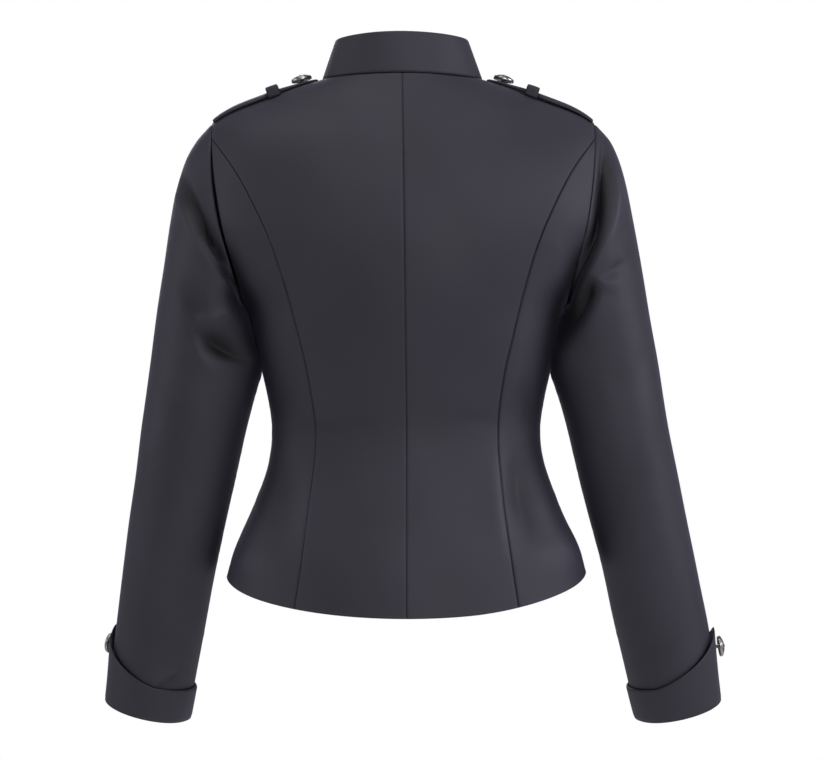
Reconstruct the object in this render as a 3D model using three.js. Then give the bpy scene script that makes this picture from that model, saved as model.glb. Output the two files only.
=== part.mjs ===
// A fitted gothic jacket with a stand collar, princess seams, shoulder straps and turned-back cuffs.
// It is hollow and open at neck, hem and wrists, and holds the shape that it has when worn.
// Millimetres. +X is the wearer's left, +Y the back and +Z up. The origin lies between the two points
// where the shoulder seams meet the collar.
import * as THREE from "three";

// Cloth and clearances
const clothThickness = 1.6;
const collarThickness = 2.4;
const strapThickness = 2.2;
const seamGap = 0.4;
const seamInset = seamGap / 2;
const edgeClearance = 0.35;

// How far apart two points are set to find a surface's direction
const angleStep = 0.01;
const levelStep = 0.02;
const sleeveStep = 2.5;

// Meshing
const armholeSteps = 12;
const skirtSteps = 11;
const shoulderSteps = 4;
const sleeveColumns = 2 * armholeSteps;
const backColumns = 8;
const sideColumns = 4;
const frontColumns = 11;
// The armhole row just above each princess seam's upper end, and how far up to it a side panel's tip goes
const backPrincessStep = 10;
const frontPrincessStep = 7;
const seamTipShare = 0.7;

// The torso, in rings from the hem over the shoulders to the neck seam. At each level the ring has its
// own height at the side, the centre back and the centre front. The square column is the ring's
// superellipse exponent, where 2 is an ellipse. A smaller dip carries the centre's height further round.
const hemLevel = 0;
const underarmLevel = 7;
const shoulderLevel = 11;
const neckLevel = 13;
const ringColumns = ["level", "halfWidth", "back", "front", "sideZ", "backZ", "frontZ", "square", "dip"];
const bodyRings = tableRows(ringColumns, [
  [0, 179.5, 112, 117, -494, -527, -510, 2.1, 1.2],
  [1, 168, 104, 112, -459, -481, -467, 2.1, 1.4],
  [2, 151, 91, 104, -419, -432, -422, 2.15, 1.7],
  [3, 137.5, 78, 98, -379, -385, -380, 2.2, 2],
  [4, 134.5, 74, 97, -345, -347, -346, 2.2, 2],
  [5, 142, 81, 101, -300, -301, -301, 2.2, 2],
  [6, 153.5, 92, 104, -255, -257, -257, 2.2, 2],
  [7, 161, 100, 106, -222, -225, -226, 2.2, 2],
  [8, 186, 104, 103, -188, -195, -198, 2.2, 2],
  [9, 211, 105, 96, -140, -156, -163, 2.25, 2],
  [10, 211, 101, 86, -87, -114, -131, 2.2, 2],
  [11, 191, 92, 77, -43, -78, -104, 2.1, 2],
  [12, 136, 78, 70, -17.5, -41, -77, 2.05, 2],
  [13, 80, 60, 62, 0, 1.5, -50, 2, 2],
]);
const bust = { x: 84, z: -226, depth: 15, width: 46, height: 52, fadeDepth: 60 };

// How far out the armhole lies at each height, on the back and on the front.
const armholeLine = [
  { z: -222, back: 161, front: 161 },
  { z: -206, back: 164.5, front: 162 },
  { z: -186, back: 169.5, front: 164 },
  { z: -143, back: 180, front: 170 },
  { z: -95, back: 187, front: 180 },
  { z: -43, back: 191, front: 191 },
];

// The princess seams run from the armhole to the hem, this far from the centre line.
const backPrincess = [
  { z: -530, x: 110 },
  { z: -455, x: 99 },
  { z: -405, x: 93 },
  { z: -352, x: 89.5 },
  { z: -296, x: 96 },
  { z: -253, x: 105.5 },
  { z: -206, x: 117.5 },
  { z: -160, x: 132.5 },
  { z: -114, x: 154 },
  { z: -87, x: 170 },
  { z: -60, x: 190 },
];
const frontPrincess = [
  { z: -530, x: 104 },
  { z: -420, x: 88 },
  { z: -350, x: 80 },
  { z: -290, x: 83 },
  { z: -226, x: 92 },
  { z: -175, x: 116 },
  { z: -140, x: 146 },
  { z: -110, x: 177 },
];

// The closed front: the right side laps over the left, which reaches a little less far under it.
const lapOver = 16;
const lapUnder = 12;
const lapRaise = 2.3;
const lapRamp = { from: 36, to: 15 };

// The collar's top edge. Its foot is the neck seam.
const collarTop = { halfWidth: 66.5, back: 52, front: 57, sideZ: 40, backZ: 42.8, frontZ: -9 };
const collarColumns = 44;
const collarRows = 3;
const collarEndGap = 1;

// The sleeve's sections run down the arm. Each has an inner and an outer point, the fore-and-aft place
// of its middle, and half of its depth. The pitch lowers its back and raises its front.
const sectionColumns = ["along", "innerX", "innerZ", "outerX", "outerZ", "middleY", "halfDepth", "pitch"];
const sleeveSections = tableRows(sectionColumns, [
  [0, 161, -222, 191, -43, 4, 57, 0],
  [16, 161.3, -227, 207.5, -63, 4, 61, 0],
  [38, 158.5, -235.5, 220.5, -95, 4, 63, 0],
  [65, 154.5, -246.5, 231, -141, 3, 63, 0],
  [99, 149, -262, 240, -196, 2, 61, 0],
  [136, 143.5, -283, 248.5, -250, 1, 58, 0],
  [172, 149, -307, 255.2, -292, 0, 56, 0.5],
  [213, 160.3, -349, 261.3, -331, -1, 54, 1.2],
  [275, 174.5, -410, 270.7, -392, -4, 50, 2.6],
  [342, 190.2, -475, 281.5, -457, -10, 46, 4],
  [408, 204, -540, 292.5, -522, -18, 43, 5],
  [504, 225, -638.5, 307, -620, -31, 40, 6],
]);
const sleeveLength = 504;
const sleeveEaseReach = 65;
const sleeveRows = [
  0, 9, 20, 34, 50, 68, 86, 104, 122, 140, 160, 182, 206, 234, 268, 306, 346, 386, 424, 462, 504,
];
// The left arm hangs a little closer to the body than the right one.
const swing = { left: -3.5, right: 8, fromZ: -250, toZ: -640 };
// Below the armhole the arm rests on the body, which presses the sleeve flat there.
const press = { clear: 0.9, soft: 3, fromZ: -222, toZ: -232 };

// No fold reaches the sleeve's seam at the armhole.
const foldStart = 14;
// The largest folds of each sleeve, seen from the back or the front. Each is a line from one place to
// another, as a hollow where its depth is above zero and as a ridge where it is below.
const foldColumns = ["face", "fromX", "fromZ", "toX", "toZ", "depth", "width"];
const sleeveFolds = {
  left: tableRows(foldColumns, [
    ["back", 219, -102, 172, -196, 5.5, 9],
    ["back", 226, -120, 186, -206, -3, 11],
    ["back", 229, -200, 190, -256, 2.5, 12],
    ["back", 204, -262, 168, -284, 4, 12],
    ["front", 214, -110, 176, -200, 4.5, 10],
    ["front", 222, -215, 178, -262, 3, 13],
  ]),
  right: tableRows(foldColumns, [
    ["back", 207, -86, 206, -140, 4.5, 9],
    ["back", 206, -140, 174, -212, 5.5, 10],
    ["back", 219, -130, 194, -196, -2.5, 9],
    ["back", 227, -184, 190, -204, 3, 9],
    ["front", 212, -100, 178, -206, 5, 10],
    ["front", 224, -230, 180, -272, 2.5, 13],
  ]),
};

// The cuff is turned back over the sleeve and rises to a point on the outer side.
const cuff = {
  low: 30,
  peak: 71,
  spread: 1.85,
  thickness: 2,
  standOff: 2.9,
  flare: 3.4,
  lip: 1.9,
  lining: 0.5,
  rounding: 0.6,
};
const cuffRows = 4;
// Where round the sleeve each cuff's point lies: half a turn is straight out, and more is to the front.
const cuffPeakTurn = { left: Math.PI + 0.42, right: Math.PI };

// Shoulder straps, their keepers and the shank buttons
const strap = { outerX: 189, shoulderX: 104, tipX: 85, outerHalf: 19, shoulderHalf: 16, tipHalf: 2.5 };
const strapBow = 75;
const strapLift = [
  { x: 85, lift: 0.5 },
  { x: 104, lift: 0.9 },
  { x: 134, lift: 2.4 },
  { x: 162, lift: 1.8 },
  { x: 189, lift: 0.5 },
];
const strapSteps = 12;
const strapStep = 0.5;
const keeper = { x: 128, width: 12, wall: 1.4, halfSpan: 22.5, footDrop: 3.3, height: 9.6, cornerCut: 3 };
const button = { radius: 10.5, rimHeight: 4.6, crown: 7.4, shankRadius: 2.4, shankHeight: 3.4 };
const buttonSegments = 16;
const strapButtonX = 100;
const cuffButtonHeight = 50;
const frontButtons = { count: 7, topZ: -70, bottomZ: -478 };

// How far the top leans over to the wearer's left
const lean = { top: 4.5, fromZ: -330, toZ: 40 };
// The hem's corner on the wearer's right side hangs a little higher.
const hemRise = { height: 5, fromX: -138, toX: -182, fromZ: -430, toZ: -488 };

const colours = { cloth: 0x3a393f, metal: 0x8d8a86 };
const clothFinish = { color: colours.cloth, roughness: 0.62, metalness: 0 };
const metalFinish = { color: colours.metal, roughness: 0.35, metalness: 1 };

// A table's rows, with each value under its column's name.
function tableRows(columns, rows) {
  return rows.map((row) => Object.fromEntries(columns.map((column, i) => [column, row[i]])));
}

// A smooth curve through a table: the value of a column at any place between the first and last keys.
function tableCurve(rows, key) {
  const end = rows.length - 1;
  const slope = (i, column) => {
    const low = Math.max(i - 1, 0);
    const high = Math.min(i + 1, end);
    return (rows[high][column] - rows[low][column]) / (rows[high][key] - rows[low][key]);
  };
  return (place, column) => {
    let i = 0;
    while (i < end - 1 && place > rows[i + 1][key]) i += 1;
    const span = rows[i + 1][key] - rows[i][key];
    const u = Math.min(Math.max((place - rows[i][key]) / span, 0), 1);
    const rise = u * u * (3 - 2 * u);
    const leave = u * (1 - u) * (1 - u) * span;
    const arrive = u * u * (u - 1) * span;
    return (
      rows[i][column] * (1 - rise) +
      rows[i + 1][column] * rise +
      slope(i, column) * leave +
      slope(i + 1, column) * arrive
    );
  };
}

const bodyCurve = tableCurve(bodyRings, "level");
const armholeCurve = tableCurve(armholeLine, "z");
const backPrincessCurve = tableCurve(backPrincess, "z");
const frontPrincessCurve = tableCurve(frontPrincess, "z");
const sleeveCurve = tableCurve(sleeveSections, "along");
const strapCurve = tableCurve(strapLift, "x");

function smoothStep(low, high, value) {
  const u = Math.min(Math.max((value - low) / (high - low), 0), 1);
  return u * u * (3 - 2 * u);
}

// The place between low and high where a rising function crosses zero.
function crossing(low, high, rising) {
  let a = low;
  let b = high;
  for (let i = 0; i < 48; i += 1) {
    const middle = (a + b) / 2;
    if (rising(middle) < 0) a = middle;
    else b = middle;
  }
  return (a + b) / 2;
}

// A ring's point. Angle 0 is the centre back, a quarter turn the left side and half a turn the front.
function ringPoint(angle, ring) {
  const sine = Math.sin(angle);
  const cosine = Math.cos(angle);
  const power = ring.square;
  const reach = (Math.abs(sine) ** power + Math.abs(cosine) ** power) ** (-1 / power);
  const depth = cosine > 0 ? ring.back : ring.front;
  const endZ = cosine > 0 ? ring.backZ : ring.frontZ;
  return new THREE.Vector3(
    ring.halfWidth * reach * sine,
    depth * reach * cosine,
    ring.sideZ + (endZ - ring.sideZ) * Math.abs(cosine) ** ring.dip,
  );
}

function bodyPoint(angle, level) {
  const ring = {};
  for (const column of ringColumns) {
    ring[column] = bodyCurve(level, column);
  }
  const point = ringPoint(angle, ring);
  if (point.y < 0) {
    const across = (Math.abs(point.x) - bust.x) / bust.width;
    const up = (point.z - bust.z) / bust.height;
    const facing = smoothStep(0, bust.fadeDepth, -point.y);
    point.y -= bust.depth * facing * Math.exp(-across * across - up * up);
  }
  return point;
}

// The outward direction of a surface that is given as a function of two numbers.
function surfaceNormal(surface, u, v, stepU, stepV) {
  const alongU = surface(u + stepU, v).sub(surface(u - stepU, v));
  const alongV = surface(u, v + stepV).sub(surface(u, v - stepV));
  return alongU.cross(alongV).normalize();
}

function bodyNormal(angle, level) {
  const inside = Math.min(Math.max(level, hemLevel + levelStep), neckLevel - levelStep);
  return surfaceNormal(bodyPoint, angle, inside, angleStep, levelStep).negate();
}

// A closed wall over a grid of outer points, with a direction at each for the inner points.
function wallGeometry(grid, thickness) {
  const rows = grid.length;
  const columns = grid[0].length;
  const positions = [];
  const triangles = [];
  for (const side of [0, thickness]) {
    for (const row of grid) {
      for (const { point, normal } of row) {
        positions.push(...point.clone().addScaledVector(normal, -side).toArray());
      }
    }
  }
  const outer = (i, j) => i * columns + j;
  const inner = (i, j) => rows * columns + outer(i, j);
  const quad = (a, b, c, d) => triangles.push(a, b, c, a, c, d);
  for (let i = 0; i < rows - 1; i += 1) {
    for (let j = 0; j < columns - 1; j += 1) {
      quad(outer(i, j), outer(i, j + 1), outer(i + 1, j + 1), outer(i + 1, j));
      quad(inner(i, j), inner(i + 1, j), inner(i + 1, j + 1), inner(i, j + 1));
    }
    quad(outer(i, 0), outer(i + 1, 0), inner(i + 1, 0), inner(i, 0));
    const last = columns - 1;
    quad(outer(i + 1, last), outer(i, last), inner(i, last), inner(i + 1, last));
  }
  for (let j = 0; j < columns - 1; j += 1) {
    quad(outer(0, j + 1), outer(0, j), inner(0, j), inner(0, j + 1));
    quad(outer(rows - 1, j), outer(rows - 1, j + 1), inner(rows - 1, j + 1), inner(rows - 1, j));
  }
  return indexedGeometry(positions, triangles);
}

// A closed skin over loops of points, the last of which joins the first, round a closed ring.
function ringGeometry(loops) {
  const positions = [];
  const triangles = [];
  const columns = loops[0].length;
  for (const loop of loops) {
    for (const point of loop) positions.push(...point.toArray());
  }
  for (let i = 0; i < loops.length; i += 1) {
    const next = (i + 1) % loops.length;
    for (let j = 0; j < columns; j += 1) {
      const side = (j + 1) % columns;
      const a = i * columns + j;
      const b = i * columns + side;
      const c = next * columns + side;
      const d = next * columns + j;
      triangles.push(a, b, c, a, c, d);
    }
  }
  return indexedGeometry(positions, triangles);
}

function indexedGeometry(positions, triangles) {
  const geometry = new THREE.BufferGeometry();
  geometry.setAttribute("position", new THREE.Float32BufferAttribute(positions, 3));
  geometry.setIndex(triangles);
  geometry.computeVertexNormals();
  return geometry;
}

// The jacket leans a little to the wearer's left from the waist up.
function leanAt(z) {
  return lean.top * Math.min(Math.max((z - lean.fromZ) / (lean.toZ - lean.fromZ), 0), 1);
}

function hemRiseAt(x, z) {
  const across = smoothStep(-hemRise.fromX, -hemRise.toX, -x);
  return hemRise.height * across * smoothStep(-hemRise.fromZ, -hemRise.toZ, -z);
}

// The same shape on the wearer's right side: mirrored across the centre plane, faces turned back out.
function mirrored(geometry) {
  const copy = geometry.clone().scale(-1, 1, 1);
  const index = copy.getIndex();
  for (let i = 0; i < index.count; i += 3) {
    const second = index.getX(i + 1);
    index.setX(i + 1, index.getX(i + 2));
    index.setX(i + 2, second);
  }
  return copy;
}

// The levels of the rows: evenly up to the underarm, then as an arc's heights up the armhole.
function armholeLevel(turn) {
  const share = (1 - Math.cos(turn)) / 2;
  const low = bodyCurve(underarmLevel, "sideZ");
  const high = bodyCurve(shoulderLevel, "sideZ");
  const z = low + (high - low) * share;
  return crossing(underarmLevel, shoulderLevel, (level) => bodyCurve(level, "sideZ") - z);
}
const skirtLevels = Array.from({ length: skirtSteps }, (_, i) => (underarmLevel * i) / skirtSteps);
const armholeLevels = Array.from({ length: armholeSteps + 1 }, (_, i) =>
  armholeLevel((Math.PI * i) / armholeSteps),
);
const shoulderLevels = Array.from(
  { length: shoulderSteps },
  (_, i) => shoulderLevel + ((neckLevel - shoulderLevel) * (i + 1)) / shoulderSteps,
);
const bodyLevels = [...skirtLevels, ...armholeLevels, ...shoulderLevels];
const sideSeam = Math.PI / 2;

// The angle at which a level's ring is as far out as a curve says, between the centre and the side.
function angleAtCurve(level, face, curve, column) {
  const centre = face === "back" ? 0 : Math.PI;
  const excess = (share) => {
    const point = bodyPoint(centre + (sideSeam - centre) * share, level);
    return point.x - curve(point.z, column);
  };
  return centre + (sideSeam - centre) * crossing(0, 1, excess);
}

function armholeAngle(level, face) {
  if (level <= underarmLevel || level >= shoulderLevel) return sideSeam;
  return angleAtCurve(level, face, armholeCurve, face);
}

function princessAngle(level, face) {
  const curve = face === "back" ? backPrincessCurve : frontPrincessCurve;
  return angleAtCurve(level, face, curve, "x");
}

// An angle moved by a distance along its ring.
function movedAngle(angle, level, distance) {
  const ahead = bodyPoint(angle + angleStep, level);
  const speed = ahead.distanceTo(bodyPoint(angle - angleStep, level)) / (2 * angleStep);
  return angle + distance / speed;
}

// A panel of the torso between two seams. Each edge gives its angle at a level, and the row's angle grows
// from the first edge to the second.
function bodyPanel(levels, firstEdge, secondEdge, columns, raise = () => 0) {
  const grid = levels.map((level) => {
    const first = movedAngle(firstEdge(level), level, seamInset);
    const second = movedAngle(secondEdge(level), level, -seamInset);
    return Array.from({ length: columns + 1 }, (_, j) => {
      const angle = second + ((first - second) * j) / columns;
      const normal = bodyNormal(angle, level);
      const point = bodyPoint(angle, level);
      point.addScaledVector(normal, raise(point.x));
      return { point, normal };
    });
  });
  return wallGeometry(grid, clothThickness);
}

// The outer edge of a back or front: its princess seam, which meets the armhole between two rows, and
// from there the armhole and the shoulder seam.
function outerEdge(level, face, step) {
  const below = armholeLevels[step - 1];
  const above = armholeLevels[step];
  if (level <= below) return princessAngle(level, face);
  if (level >= above) return armholeAngle(level, face);
  const share = (level - below) / (above - below);
  return princessAngle(below, face) * (1 - share) + armholeAngle(above, face) * share;
}
const backEdge = (level) => outerEdge(level, "back", backPrincessStep);
const frontEdge = (level) => outerEdge(level, "front", frontPrincessStep);

// The levels of a side panel, which ends in a narrow tip where its princess seam meets the armhole.
function sideLevels(step) {
  const below = armholeLevels[step - 1];
  const tip = below + (armholeLevels[step] - below) * seamTipShare;
  return [...skirtLevels, ...armholeLevels.slice(0, step), tip];
}

function backPanel() {
  return bodyPanel(bodyLevels, () => 0, backEdge, backColumns);
}

function sideBackPanel() {
  const levels = sideLevels(backPrincessStep);
  return bodyPanel(levels, backEdge, (level) => armholeAngle(level, "back"), sideColumns);
}

function sideFrontPanel() {
  const levels = sideLevels(frontPrincessStep);
  return bodyPanel(levels, (level) => armholeAngle(level, "front"), frontEdge, sideColumns);
}

// A front reaches past the centre front by its lap. The upper one is raised clear of the lower.
function frontPanel(lap, raised) {
  const centreEdge = (level) => movedAngle(Math.PI, level, lap);
  const raise = (x) => (raised ? lapRaise * smoothStep(-lapRamp.from, -lapRamp.to, -x) : 0);
  return bodyPanel(bodyLevels, frontEdge, centreEdge, frontColumns, raise);
}

// The collar, from the neck seam to its top edge, as one band with its ends at the centre front.
function collarPoint(angle, height) {
  const foot = bodyPoint(angle, neckLevel);
  const top = ringPoint(angle, { ...collarTop, square: 2, dip: 2 });
  return foot.lerp(top, height).add(new THREE.Vector3(0, 0, edgeClearance * (1 - height)));
}

function collarBand() {
  const end = movedAngle(Math.PI, neckLevel, -collarEndGap / 2);
  const grid = Array.from({ length: collarRows + 1 }, (_, i) => {
    const height = i / collarRows;
    return Array.from({ length: collarColumns + 1 }, (__, j) => {
      const angle = end - (2 * end * j) / collarColumns;
      return { point: collarPoint(angle, height), normal: collarNormal(angle, height) };
    });
  });
  return wallGeometry(grid, collarThickness);
}

function collarNormal(angle, height) {
  const inside = Math.min(Math.max(height, levelStep), 1 - levelStep);
  return surfaceNormal(collarPoint, angle, inside, angleStep, levelStep).negate();
}

// The armhole's edge. A turn of 0 is the underarm, half a turn the shoulder point, and the back of the
// armhole lies between them. The second half turn comes back down the front.
function armholePoint(turn) {
  const wrapped = ((turn % (2 * Math.PI)) + 2 * Math.PI) % (2 * Math.PI);
  const face = wrapped <= Math.PI ? "back" : "front";
  const level = armholeLevel(wrapped);
  const point = bodyPoint(armholeAngle(level, face), level);
  point.x += seamGap;
  return point;
}

// The sleeve without its folds: elliptical sections whose first is eased into the armhole.
function sectionPoint(turn, along) {
  const at = (column) => sleeveCurve(along, column);
  const inner = new THREE.Vector3(at("innerX"), 0, at("innerZ"));
  const outer = new THREE.Vector3(at("outerX"), 0, at("outerZ"));
  const share = (1 - Math.cos(turn)) / 2;
  const point = inner.lerp(outer, share);
  point.y = at("middleY") + at("halfDepth") * Math.sin(turn);
  point.z -= at("pitch") * Math.sin(turn);
  return point;
}

function flankX(y, z) {
  const level = crossing(hemLevel, underarmLevel, (at) => bodyCurve(at, "sideZ") - z);
  const depth = bodyCurve(level, y > 0 ? "back" : "front");
  const power = bodyCurve(level, "square");
  const reach = Math.max(1 - (Math.abs(y) / depth) ** power, 0);
  return bodyCurve(level, "halfWidth") * reach ** (1 / power);
}

function pressedX(point) {
  const share = smoothStep(-press.fromZ, -press.toZ, -point.z);
  if (share === 0) return point.x;
  const least = flankX(point.y, point.z) + press.clear;
  const over = point.x - least;
  const pressed = least + (over + Math.hypot(over, press.soft)) / 2;
  return point.x + (pressed - point.x) * share;
}

function plainSleevePoint(turn, along, side) {
  const point = sectionPoint(turn, along);
  const ease = 1 - Math.min(along / sleeveEaseReach, 1);
  if (ease > 0) {
    const correction = armholePoint(turn).sub(sectionPoint(turn, 0));
    point.addScaledVector(correction, ease * ease * (3 - 2 * ease));
  }
  const hang = Math.min(Math.max((swing.fromZ - point.z) / (swing.fromZ - swing.toZ), 0), 1);
  point.x += swing[side] * hang * hang;
  point.x = pressedX(point);
  return point;
}

// How far a point lies from a fold's line, seen square on.
function distanceToFold(point, fold) {
  const runX = fold.toX - fold.fromX;
  const runZ = fold.toZ - fold.fromZ;
  const along = (point.x - fold.fromX) * runX + (point.z - fold.fromZ) * runZ;
  const share = Math.min(Math.max(along / (runX * runX + runZ * runZ), 0), 1);
  return Math.hypot(point.x - fold.fromX - runX * share, point.z - fold.fromZ - runZ * share);
}

function foldDepth(turn, point, side) {
  let depth = 0;
  for (const fold of sleeveFolds[side]) {
    const facing = fold.face === "back" ? Math.sin(turn) : -Math.sin(turn);
    const near = distanceToFold(point, fold) / fold.width;
    depth += fold.depth * Math.exp(-near * near) * smoothStep(0.1, 0.5, facing);
  }
  return depth;
}

// The sleeve's outward direction, before its folds.
function plainSleeveNormal(turn, along, side) {
  const inside = Math.min(Math.max(along, sleeveStep), sleeveLength - sleeveStep);
  const surface = (u, v) => plainSleevePoint(u, v, side);
  return surfaceNormal(surface, turn, inside, angleStep, sleeveStep);
}

function sleevePoint(turn, along, side) {
  const point = plainSleevePoint(turn, along, side);
  const depth = foldDepth(turn, point, side);
  const settled = smoothStep(0, foldStart, along);
  if (Math.abs(depth) < 0.01) return point;
  return point.addScaledVector(plainSleeveNormal(turn, along, side), -depth * settled);
}

function sleeveNormal(turn, along, side) {
  const inside = Math.min(Math.max(along, sleeveStep), sleeveLength - sleeveStep);
  const surface = (u, v) => sleevePoint(u, v, side);
  return surfaceNormal(surface, turn, inside, 5 * angleStep, sleeveStep);
}

// The inner edge of the sleeve's top stays outside the edge of the torso that it is sewn to.
function innerSleevePoint(turn, along, side) {
  const normal = sleeveNormal(turn, along, side);
  const point = sleevePoint(turn, along, side).addScaledVector(normal, -clothThickness);
  if (along === 0) {
    point.x = Math.max(point.x, armholePoint(turn).x);
  }
  return point;
}

function sleeveTurns() {
  return Array.from({ length: sleeveColumns }, (_, j) => (2 * Math.PI * j) / sleeveColumns);
}

function sleeveTube(side) {
  const outer = sleeveRows.map((along) => sleeveTurns().map((turn) => sleevePoint(turn, along, side)));
  const inner = sleeveRows.map((along) => sleeveTurns().map((turn) => innerSleevePoint(turn, along, side)));
  return ringGeometry([...outer, ...inner.reverse()]);
}

// The cuff's top edge falls straight on each side of its point.
function cuffHeight(turn, side) {
  const apart = Math.abs(turn - cuffPeakTurn[side]);
  const away = Math.min(apart, 2 * Math.PI - apart) / cuff.spread;
  return cuff.low + (cuff.peak - cuff.low) * Math.max(0, 1 - away);
}

// A point this far above the sleeve's end and this far out from its cloth.
function cuffPoint(turn, height, out, side) {
  const along = sleeveLength - height;
  const point = plainSleevePoint(turn, Math.min(along, sleeveLength), side);
  const normal = plainSleeveNormal(turn, along, side);
  if (height < 0) point.addScaledVector(sleeveAxis(side), -height);
  return point.addScaledVector(normal, out);
}

// The direction of the forearm, towards the hand.
function sleeveAxis(side) {
  const middle = (along) => {
    const inner = plainSleevePoint(0, along, side);
    return inner.lerp(plainSleevePoint(Math.PI, along, side), 0.5);
  };
  return middle(sleeveLength).sub(middle(sleeveLength - cuff.low)).normalize();
}

function cuffOut(turn, share, side) {
  const rise = (cuffHeight(turn, side) - cuff.low) / (cuff.peak - cuff.low);
  return cuff.standOff + cuff.flare * rise * share * share;
}

function cuffBand(side) {
  const loop = (height, out) => sleeveTurns().map((turn) => cuffPoint(turn, height(turn), out(turn), side));
  const shares = Array.from({ length: cuffRows + 1 }, (_, i) => i / cuffRows);
  const inside = clothThickness + cuff.lining;
  const outerLoops = shares.map((share) =>
    loop((turn) => cuffHeight(turn, side) * share, (turn) => cuffOut(turn, share, side)),
  );
  const innerLoops = shares.map((share) =>
    loop((turn) => cuffHeight(turn, side) * share, (turn) => cuffOut(turn, share, side) - cuff.thickness),
  );
  const lipTop = -edgeClearance;
  const lip = [
    loop(() => lipTop - cuff.lip, () => cuff.standOff - cuff.rounding),
    loop(() => lipTop - cuff.lip, () => -inside + cuff.rounding),
    loop(() => lipTop, () => -inside),
    loop(() => lipTop, () => cuff.standOff - cuff.thickness),
  ];
  return ringGeometry([...outerLoops.reverse(), ...lip, ...innerLoops]);
}

// The shoulder seam's height at a distance from the centre.
function shoulderHeight(x) {
  const level = crossing(shoulderLevel, neckLevel, (at) => x - bodyCurve(at, "halfWidth"));
  return bodyCurve(level, "sideZ");
}

// The strap's outline narrows towards the neck and ends in a point.
function strapHalfWidth(x) {
  if (x < strap.shoulderX) {
    const share = (x - strap.tipX) / (strap.shoulderX - strap.tipX);
    return strap.tipHalf + (strap.shoulderHalf - strap.tipHalf) * share;
  }
  const share = (x - strap.shoulderX) / (strap.outerX - strap.shoulderX);
  return strap.shoulderHalf + (strap.outerHalf - strap.shoulderHalf) * share;
}

function strapSurface(x, y) {
  const z = shoulderHeight(x) + strapCurve(x, "lift") + strapThickness - (y * y) / (2 * strapBow);
  return new THREE.Vector3(x, y, z);
}

function strapPlaces() {
  const tip = [strap.tipX, (strap.tipX + strap.shoulderX) / 2];
  const rest = Array.from(
    { length: strapSteps + 1 },
    (_, i) => strap.shoulderX + ((strap.outerX - strap.shoulderX) * i) / strapSteps,
  );
  return [...tip, ...rest];
}

function strapBoard() {
  const grid = strapPlaces().map((x) =>
    [1, 0.5, 0, -0.5, -1].map((share) => {
      const y = share * strapHalfWidth(x);
      const normal = surfaceNormal(strapSurface, x, y, strapStep, strapStep);
      return { point: strapSurface(x, y), normal };
    }),
  );
  return wallGeometry(grid, strapThickness);
}

// The slope of the shoulder at a place, as a turn about the fore-and-aft axis.
function shoulderSlope(x) {
  const reach = keeper.width / 2;
  return Math.atan2(shoulderHeight(x - reach) - shoulderHeight(x + reach), 2 * reach);
}

// The keeper is a loop of cloth over the strap, sewn down on both sides of it.
function keeperLoop() {
  const foot = edgeClearance - keeper.footDrop;
  const wall = keeper.wall;
  const outline = new THREE.Shape();
  outline.moveTo(-keeper.halfSpan, foot);
  outline.lineTo(-keeper.halfSpan, keeper.height - keeper.cornerCut);
  outline.lineTo(-keeper.halfSpan + keeper.cornerCut, keeper.height);
  outline.lineTo(keeper.halfSpan - keeper.cornerCut, keeper.height);
  outline.lineTo(keeper.halfSpan, keeper.height - keeper.cornerCut);
  outline.lineTo(keeper.halfSpan, foot);
  outline.lineTo(keeper.halfSpan - wall, foot);
  outline.lineTo(keeper.halfSpan - wall, keeper.height - keeper.cornerCut - wall / 2);
  outline.lineTo(keeper.halfSpan - keeper.cornerCut - wall / 2, keeper.height - wall);
  outline.lineTo(-keeper.halfSpan + keeper.cornerCut + wall / 2, keeper.height - wall);
  outline.lineTo(-keeper.halfSpan + wall, keeper.height - keeper.cornerCut - wall / 2);
  outline.lineTo(-keeper.halfSpan + wall, foot);
  const geometry = new THREE.ExtrudeGeometry(outline, { depth: keeper.width, bevelEnabled: false });
  geometry.setIndex(Array.from({ length: geometry.getAttribute("position").count }, (_, i) => i));
  geometry.translate(0, 0, -keeper.width / 2);
  // The outline's own axes become fore-and-aft and up, and its depth runs along the shoulder.
  geometry.rotateX(Math.PI / 2).rotateZ(Math.PI / 2);
  geometry.rotateY(shoulderSlope(keeper.x));
  geometry.translate(keeper.x, 0, shoulderHeight(keeper.x));
  return geometry;
}

// A shank button stands up along its own axis, from the cloth at its foot.
function buttonSolid() {
  const profile = [
    [0, edgeClearance],
    [button.shankRadius, edgeClearance],
    [button.shankRadius, button.shankHeight],
    [button.radius - 0.6, button.shankHeight],
    [button.radius, button.rimHeight],
    [button.radius * 0.62, button.crown - 0.9],
    [0, button.crown],
  ].map(([radius, height]) => new THREE.Vector2(radius, height));
  return new THREE.LatheGeometry(profile, buttonSegments).rotateX(Math.PI / 2);
}

function leaned(geometry) {
  const positions = geometry.getAttribute("position");
  for (let i = 0; i < positions.count; i += 1) {
    positions.setX(i, positions.getX(i) + leanAt(positions.getZ(i)));
  }
  return geometry;
}

function risen(geometry) {
  const positions = geometry.getAttribute("position");
  for (let i = 0; i < positions.count; i += 1) {
    positions.setZ(i, positions.getZ(i) + hemRiseAt(positions.getX(i), positions.getZ(i)));
  }
  return geometry;
}

function addCloth(name, geometry) {
  return addPiece(name, leaned(geometry), clothFinish);
}

function addPiece(name, geometry, finish) {
  const mesh = new THREE.Mesh(geometry, new THREE.MeshStandardMaterial(finish));
  mesh.name = name;
  jacket.add(mesh);
  return mesh;
}

function addButton(name, place, direction) {
  const mesh = addPiece(name, buttonSolid(), metalFinish);
  mesh.position.copy(place);
  mesh.position.x += leanAt(place.z);
  mesh.quaternion.setFromUnitVectors(new THREE.Vector3(0, 0, 1), direction);
}

function addSidePair(name, geometry) {
  const other = risen(mirrored(geometry));
  addCloth(`${name}_left`, geometry);
  addCloth(`${name}_right`, other);
}

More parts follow.
